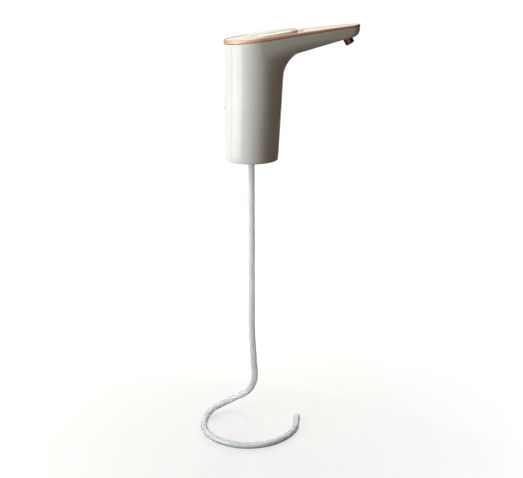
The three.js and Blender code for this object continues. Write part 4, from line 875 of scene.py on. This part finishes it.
def can(radius, tall, sides, height, top=None):
    """A closed round or many-sided can of the given radius, its middle at a height."""
    cone = add("GeometryNodeMeshCone", Vertices=sides, Depth=tall, Radius_Bottom=radius,
               Radius_Top=radius if top is None else top)
    return add("GeometryNodeTransform", Geometry=cone, Translation=add("ShaderNodeCombineXYZ", Z=height))


width, depth, turns, thread_height = [entry.outputs[k] for k in SCREW_SIZES]
whole_head = add("GeometryNodeMeshBoolean", operation="UNION", solver="EXACT",
                 Mesh_2=[can(1.0, 0.72, 40, -0.36), can(0.84, 0.30, 40, -0.85, top=1.0)])
head = add("GeometryNodeMeshBoolean", operation="DIFFERENCE", solver="EXACT", Mesh_1=whole_head,
           Mesh_2=can(width, 1.0, 6, sized("SUBTRACT", depth, 1.5)))

core = sized("SUBTRACT", 1.0, thread_height)
helix = add("GeometryNodeCurveSpiral", Resolution=20, Height=0.82, Rotations=turns, Start_Radius=core,
            End_Radius=core)
edge = add("GeometryNodeCurvePrimitiveCircle", Resolution=4, Radius=thread_height)
thread = add("GeometryNodeCurveToMesh", Curve=add("GeometryNodeSetCurveNormal", mode="Z_UP", Curve=helix),
             Profile_Curve=add("GeometryNodeTransform", Scale=(1.0, 0.16, 1.0), Geometry=edge),
             Fill_Caps=True)
lifted = add("GeometryNodeTransform", Translation=(0, 0, 0.04), Geometry=thread)
shank = add("GeometryNodeJoinGeometry", Geometry=[can(core, 0.86, 24, 0.43),
                                                  can(core, 0.14, 24, 0.93, top=0.1), lifted])

# %% Heads and shanks on the points


def carried(name):
    """A vector that every point carries."""
    return add("GeometryNodeInputNamedAttribute", data_type="FLOAT_VECTOR", Name=name)


aim = add("FunctionNodeAlignRotationToVector", axis="Z", Vector=carried("axis"))
end_tree([add("GeometryNodeInstanceOnPoints", Points=entry, Instance=unit, Rotation=aim, Scale=carried(key))
          for key, unit in (("head", head), ("shank", shank))], screw_steel)
bake_tree(screw_set, tree, SCREW_SIZES)
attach(screw_set, "pump_head")
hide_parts(*[n for n in frame["nodes"] if "_screw_" in n])
print("screws:", len(screws), "faces:", len(screw_set.data.polygons))

# %% [markdown]
# ## Finishes
# No surface is one flat colour. A finish here has three layers of detail: slow changes of colour
# over centimetres, smudges and wear in the roughness over millimetres, and a fine grain in the
# bump. One helper lays these three layers on Object coordinates. What is special about a finish,
# such as printed tracks, is added after it.

# %% Layers of a finish


def laid_out(tree, turned=(0, 0, 0), stretch=(1, 1, 1)):
    """Object coordinates, turned and stretched."""
    where = add_node(tree, "ShaderNodeTexCoord").outputs["Object"]
    return add_node(tree, "ShaderNodeMapping", Vector=where, Rotation=turned, Scale=stretch)


def laid_noise(tree, scale, detail=3.0, stretch=(1, 1, 1), turned=0.0):
    """Noise on Object coordinates; stretch makes it run in lines, turned tilts them about Y."""
    return add_node(tree, "ShaderNodeTexNoise", Vector=laid_out(tree, (0, turned, 0), stretch),
                    Scale=scale, Detail=detail)


def between(tree, factor, low, high, start=0.35, end=0.65):
    """Maps the middle of a noise to the range low to high."""
    return add_node(tree, "ShaderNodeMapRange", Value=factor, From_Min=start, From_Max=end,
                    To_Min=low, To_Max=high)


def mixed(tree, factor, one, other):
    """One colour where the factor is 0, the other where it is 1. The first can be an output."""
    first = one if isinstance(one, bpy.types.NodeSocket) else (*one, 1)
    mix = add_node(tree, "ShaderNodeMix", data_type="RGBA", Factor=factor, A=first, B=(*other, 1))
    return mix.outputs["Result"]


def paint_over(material, factor, colour):
    """Lays a colour over the material's own one where the factor is 1."""
    base = material.node_tree.nodes["Principled BSDF"].inputs["Base Color"]
    put(mixed(material.node_tree, factor, base.links[0].from_socket, colour), base)


def finish(name, colour, other, rough, grain, scales, stretch=(1, 1, 1), turned=0.0, **shader):
    """A material with colour patches and smudges of the two scales, roughness from rough[0] to
    rough[1], and grain (scale, height)."""
    material = bpy.data.materials.get(name) or bpy.data.materials.new(name)
    material.use_nodes = True
    tree = material.node_tree
    tone = between(tree, laid_noise(tree, scales[0]), 0, 1)
    smudge = laid_noise(tree, scales[1], 5, stretch, turned)
    bump = add_node(tree, "ShaderNodeBump", Distance=grain[1],
                    Height=laid_noise(tree, grain[0], 4, stretch, turned))
    settle(tree.nodes["Principled BSDF"], Base_Color=mixed(tree, tone, colour, other),
           Roughness=between(tree, smudge, *rough), Normal=bump, **shader)
    return material


def srgb(red, green, blue):
    """A colour as a picture shows it, 0 to 255, in the linear numbers that shaders take."""
    shares = [c / 255 for c in (red, green, blue)]
    return tuple(c / 12.92 if c < 0.04045 else ((c + 0.055) / 1.055) ** 2.4 for c in shares)


# %% Gloss plastic of the housing, panel and pad
gloss_white = finish("gloss_white_plastic", srgb(236, 237, 234), srgb(230, 229, 223), (0.17, 0.24),
                     (420, 3e-6), (18, 60), IOR=1.5, Specular_IOR_Level=0.3, Coat_Weight=0.3,
                     Coat_Roughness=0.07)
panel_cream = finish("gloss_cream_panel", srgb(233, 226, 211), srgb(227, 218, 201), (0.12, 0.22),
                     (420, 3e-6), (22, 70), IOR=1.5, Coat_Weight=0.4, Coat_Roughness=0.06)

# %% [markdown]
# The metal is a soft copper pink on the band. The spout is the same rose gold, but its colour
# is painted far darker, as painted shade and painted reflection of the dark room under the arm's
# tip, and a clear coat keeps it glossy. The band is brushed along its length: noise that is
# squeezed in height and long sideways makes the fine lines. The spout is turned, so its lines run
# round its own leaning axis.

# %% Metals
finish("rose_gold_band", srgb(192, 153, 128), srgb(178, 137, 112), (0.47, 0.59), (260, 4e-6),
       (60, 200), stretch=(0.25, 0.25, 12), Metallic=1.0)
# painted shade: the spout's rose gold gets a far darker colour than the band's, for the dark room it reflects
# under the arm's tip
shaded_rose_spout = finish("rose_gold_spout", srgb(94, 57, 45), srgb(76, 45, 36), (0.12, 0.24), (260, 4e-6),
                    (90, 200), stretch=(0.25, 0.25, 12), turned=NOZZLE_TILT, Metallic=1.0,
                    Coat_Weight=0.4, Coat_Roughness=0.06)
finish("bright_screw_steel", srgb(196, 198, 202), srgb(176, 178, 184), (0.2, 0.38), (1500, 3e-6),
       (400, 900), Metallic=1.0)
pin_steel = finish("ground_pin_steel", srgb(202, 203, 206), srgb(184, 186, 190), (0.14, 0.3), (700, 2e-6),
                   (300, 500), stretch=(1, 1, 8), Metallic=1.0)
motor_zinc = finish("zinc_motor_can", srgb(186, 189, 194), srgb(166, 170, 177), (0.25, 0.45), (500, 5e-6),
                    (220, 300), stretch=(1, 1, 0.15), Metallic=1.0)

# %% Moulded plastics
finish("moulded_acetal", srgb(238, 233, 220), srgb(230, 223, 207), (0.28, 0.42), (1400, 4e-6),
       (90, 300), Specular_IOR_Level=0.45)
socket_plastic = finish("satin_socket_plastic", srgb(226, 226, 221), srgb(217, 217, 211), (0.3, 0.44),
                        (1800, 6e-6), (60, 220))
chassis_plastic = finish("matt_chassis_plastic", srgb(221, 221, 216), srgb(210, 210, 204), (0.48, 0.62),
                         (2200, 9e-6), (70, 260))
black_plastic = finish("black_switch_plastic", srgb(44, 44, 46), srgb(34, 34, 36), (0.42, 0.6), (2400, 8e-6),
                       (300, 500))
cap_plastic = finish("cream_switch_cap", srgb(243, 222, 174), srgb(233, 209, 158), (0.35, 0.5), (2400, 5e-6),
                     (300, 600))

# %% Silicone and rubber
silicone = finish("matt_silicone", srgb(228, 230, 228), srgb(217, 220, 218), (0.5, 0.68), (2600, 9e-6),
                  (80, 350), Subsurface_Weight=0.15, Subsurface_Scale=0.002)
hose_silicone = finish("milky_hose_silicone", srgb(230, 234, 233), srgb(220, 226, 226), (0.3, 0.45),
                       (900, 6e-6), (120, 260), Transmission_Weight=0.35, IOR=1.41)
seal_rubber = finish("black_seal_rubber", srgb(58, 57, 56), srgb(44, 43, 43), (0.6, 0.78), (3000, 1e-5),
                     (400, 800))

# %% [markdown]
# The tube is clear but not like glass: its surface is a little greasy and the silicone is faintly
# milky. Most light goes through it, and the mouth and the bends look whiter because the wall is
# seen edge on.

# %% Clear tube
clear_tube = finish("clear_tube_silicone", srgb(250, 253, 253), srgb(244, 249, 250), (0.08, 0.2), (300, 3e-6),
                    (60, 180), Transmission_Weight=0.6, IOR=1.41)

# %% Light, window and switch
window_white = finish("frosted_window", srgb(238, 233, 221), srgb(231, 225, 212), (0.14, 0.24), (3500, 2e-6),
                      (600, 900), Transmission_Weight=0.12, IOR=1.49)
lamp_body = finish("pale_lamp_body", srgb(246, 242, 214), srgb(238, 231, 190), (0.2, 0.35), (3000, 3e-6),
                   (700, 900), Transmission_Weight=0.2)

# %% [markdown]
# A circuit board is green because its copper tracks lie under a tinted lacquer. Long, low bricks
# give a plausible pattern of tracks: their mortar lines become the lighter copper lines.

# %% Boards with tracks
TRACK_LONG, TRACK_PITCH, TRACK_WIDTH = 0.0092, 0.0017, 0.0003


def circuit_board(name, turned):
    material = finish(name, srgb(38, 96, 62), srgb(30, 82, 53), (0.25, 0.4), (1500, 4e-6), (160, 500))
    tracks = add_node(material.node_tree, "ShaderNodeTexBrick", Scale=1.0, Mortar_Size=TRACK_WIDTH,
                      Mortar_Smooth=0.2, Brick_Width=TRACK_LONG, Row_Height=TRACK_PITCH,
                      Vector=laid_out(material.node_tree, turned))
    paint_over(material, tracks.outputs["Fac"], srgb(78, 140, 84))
    return material


board_green = circuit_board("green_circuit_board", (0, PLATE_SLOPE, 0))
charge_green = circuit_board("green_charging_board", (0, math.pi / 2, 0))

# %% Battery cell: coloured wrap, bare metal at its end
BARE_END = 0.0022
cell_wrap = finish("shrunk_cell_wrap", srgb(74, 122, 178), srgb(64, 108, 164), (0.2, 0.34), (700, 6e-6),
                   (120, 260), Coat_Weight=0.2)
cell_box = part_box("battery_cell")
tree = cell_wrap.node_tree
where = add_node(tree, "ShaderNodeTexCoord")
up = add_node(tree, "ShaderNodeSeparateXYZ", Vector=where.outputs["Object"]).outputs["Z"]
bare = maths(tree, "GREATER_THAN", up, cell_box[1][2] - BARE_END)
paint_over(cell_wrap, bare, srgb(196, 196, 194))
settle(tree.nodes["Principled BSDF"], Metallic=bare)

# %% Every piece and every node that stays gets its finish
for piece, material in ((housing, gloss_white), (band, band_metal), (panel, panel_cream),
                        (press_pad, panel_cream), (lens, window_white), (spout, shaded_rose_spout),
                        (disc, disc_plastic), (collar, socket_plastic), (grip, silicone),
                        (fitting, disc_plastic), (cover, silicone), (cover_tail, silicone),
                        (screw_set, screw_steel), (intake_tube, clear_tube)):
    piece.data.materials.clear()
    piece.data.materials.append(material)
for name in ("suction_hose_sweep", "delivery_hose_sweep"):
    bpy.data.objects[name].data.materials.append(hose_silicone)

by_slot = {
    "chassis_plastic": chassis_plastic, "seal_rubber": seal_rubber, "acetal": disc_plastic,
    "steel": pin_steel, "motor_steel": motor_zinc, "black_plastic": black_plastic,
    "switch_cap": cap_plastic, "circuit_board": board_green, "light": lamp_body, "cell_wrap": cell_wrap,
}
kept = 0
for part in frame["record"]["subparts"]:
    node = frame["nodes"][part["node"]]
    if node.hide_render:
        continue
    material = charge_green if part["node"] == "charging_board" else by_slot[part["material_slot"]]
    for place in node.material_slots:
        place.material = material
    kept += 1
print("nodes kept with a new finish:", kept)

# %% [markdown]
# ## Floor and light
# A pale floor runs far behind the pump. Far away it shines like a white backdrop, and near the
# tube it does not, so that it keeps the tube's shadow. A tall soft light on the left puts the
# long bright streak on the column. One from above lights the panel, and one behind fills the
# arm's far side and is kept out of the gloss. What a glossy column shows on its right side is the
# room, and a dark room is what makes the white plastic read as round, so a dark brown card stands
# outside the picture there and another lies under the pump. A pale card at the front right is
# what lights the band.

# %% Floor
FLOOR_Z, FLOOR_SIZE = -0.35965, 120
FLOOR_NEAR, FLOOR_FAR = srgb(208, 206, 203), srgb(148, 144, 139)


def flat_sheet(name, centre, width, depth, direction):
    """A flat sheet about a centre, facing a direction."""
    turn_to = Vector(direction).to_track_quat("Z", "Y").to_matrix().to_4x4()
    corners = [(sx * width / 2, sy * depth / 2, 0) for sx, sy in ((-1, -1), (1, -1), (1, 1), (-1, 1))]
    points = [Matrix.Translation(centre) @ turn_to @ Vector(p) for p in corners]
    return add_object(name, points, [(0, 1, 2, 3)])


def seen_white(tree):
    """1 for what the camera, mirrors and glass see of a backdrop, 0 for the light it gives."""
    path = add_node(tree, "ShaderNodeLightPath")
    seen = maths(tree, "MAXIMUM", path.outputs["Is Camera Ray"], path.outputs["Is Glossy Ray"])
    return maths(tree, "MAXIMUM", seen, path.outputs["Is Transmission Ray"])


floor = flat_sheet("pale_floor", (0, 0, FLOOR_Z), FLOOR_SIZE, FLOOR_SIZE, (0, 0, 1))
floor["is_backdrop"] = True
floor_material = finish("pale_floor", FLOOR_NEAR, FLOOR_FAR, (0.7, 0.8), (300, 1e-5), (8, 20),
                        Specular_IOR_Level=0.1)
floor.data.materials.append(floor_material)
tree = floor_material.node_tree
where = add_node(tree, "ShaderNodeTexCoord")
length = add_node(tree, "ShaderNodeVectorMath", operation="LENGTH", Vector=where.outputs["Object"])
distance = length.outputs["Value"]
glow = maths(tree, "MULTIPLY", between(tree, distance, 0.4, 1.0, 0.15, 0.6), seen_white(tree))
away = between(tree, distance, 0, 1, 0.15, 0.5)
settle(tree.nodes["Principled BSDF"], Base_Color=mixed(tree, away, FLOOR_NEAR, FLOOR_FAR),
       Emission_Color=(1, 1, 1, 1), Emission_Strength=glow)

# %% Cards that the gloss shows


def stage_card(name, centre, width, height, facing, colour):
    card = flat_sheet(name, centre, width, height, facing)
    card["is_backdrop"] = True
    card.visible_camera = False
    other = tuple(0.8 * c for c in colour)
    card.data.materials.append(finish(name, colour, other, (0.8, 0.9), (200, 1e-4), (6, 20)))
    return card


under_card = stage_card("under_card", (0.1, 0.15, FLOOR_Z + 0.002), 1.1, 1.3, (0, 0, 1), srgb(62, 52, 44))
under_card.visible_transmission = False
under_card.visible_shadow = False
stage_card("right_card", (0.5, -0.05, 0.15), 1.3, 1.0, (-1, -0.1, 0), srgb(84, 62, 44))
stage_card("front_right_card", (0.62, -0.86, -0.02), 0.45, 0.64, (-0.6, 0.8, 0.05), srgb(244, 236, 224))

# %% World, and lamps: place, what they look at, width, height, watts, colour
world = bpy.data.worlds.new("studio")
bpy.context.scene.world = world
world.use_nodes = True
tree = world.node_tree
room = settle(tree.nodes["Background"], Color=(*srgb(240, 224, 200), 1), Strength=0.08)
seen = add_node(tree, "ShaderNodeBackground", Color=(1, 1, 1, 1))
mix = add_node(tree, "ShaderNodeMixShader", Fac=seen_white(tree))
put(room, mix.inputs[1])
put(seen, mix.inputs[2])
settle(tree.nodes["World Output"], Surface=mix)

LAMPS = {
    "left_window": ((-1.32, -0.37, 0.35), (0, 0, 0.02), 1.15, 2.1, 31, (0.95, 0.99, 0.98)),
    "window_gap": ((-1.2, 0.62, 0.3), (0, 0, 0.05), 0.1, 1.5, 1.3, (0.94, 1.0, 0.99)),
    "overhead": ((0.05, 0.5, 1.4), (0.03, 0, 0.1), 0.9, 0.7, 8.5, (1.0, 0.97, 0.92)),
    "back_fill": ((0.68, 1.2, 0.6), (0, 0, 0.05), 0.6, 0.7, 11, (1.0, 0.98, 0.95)),
}
for name, (place, aim_at, width, height, power, colour) in LAMPS.items():
    data = bpy.data.lights.new(name, "AREA")
    data.shape = "RECTANGLE"
    data.size, data.size_y, data.energy, data.color = width, height, power, colour
    lamp = bpy.data.objects.new(name, data)
    bpy.context.collection.objects.link(lamp)
    lamp.location = place
    lamp.rotation_euler = (Vector(aim_at) - Vector(place)).to_track_quat("-Z", "Y").to_euler()
    lamp.visible_glossy = name != "back_fill"
bpy.context.scene.view_settings.view_transform = "Standard"
print("lamps:", ", ".join(LAMPS))

# %% Sizes of the measured model and of the dressed one
dressed_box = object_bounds()
for label, box in (("measured", cad_box), ("dressed", dressed_box)):
    print(label, [round((b - a) / MM, 2) for a, b in zip(*box)])
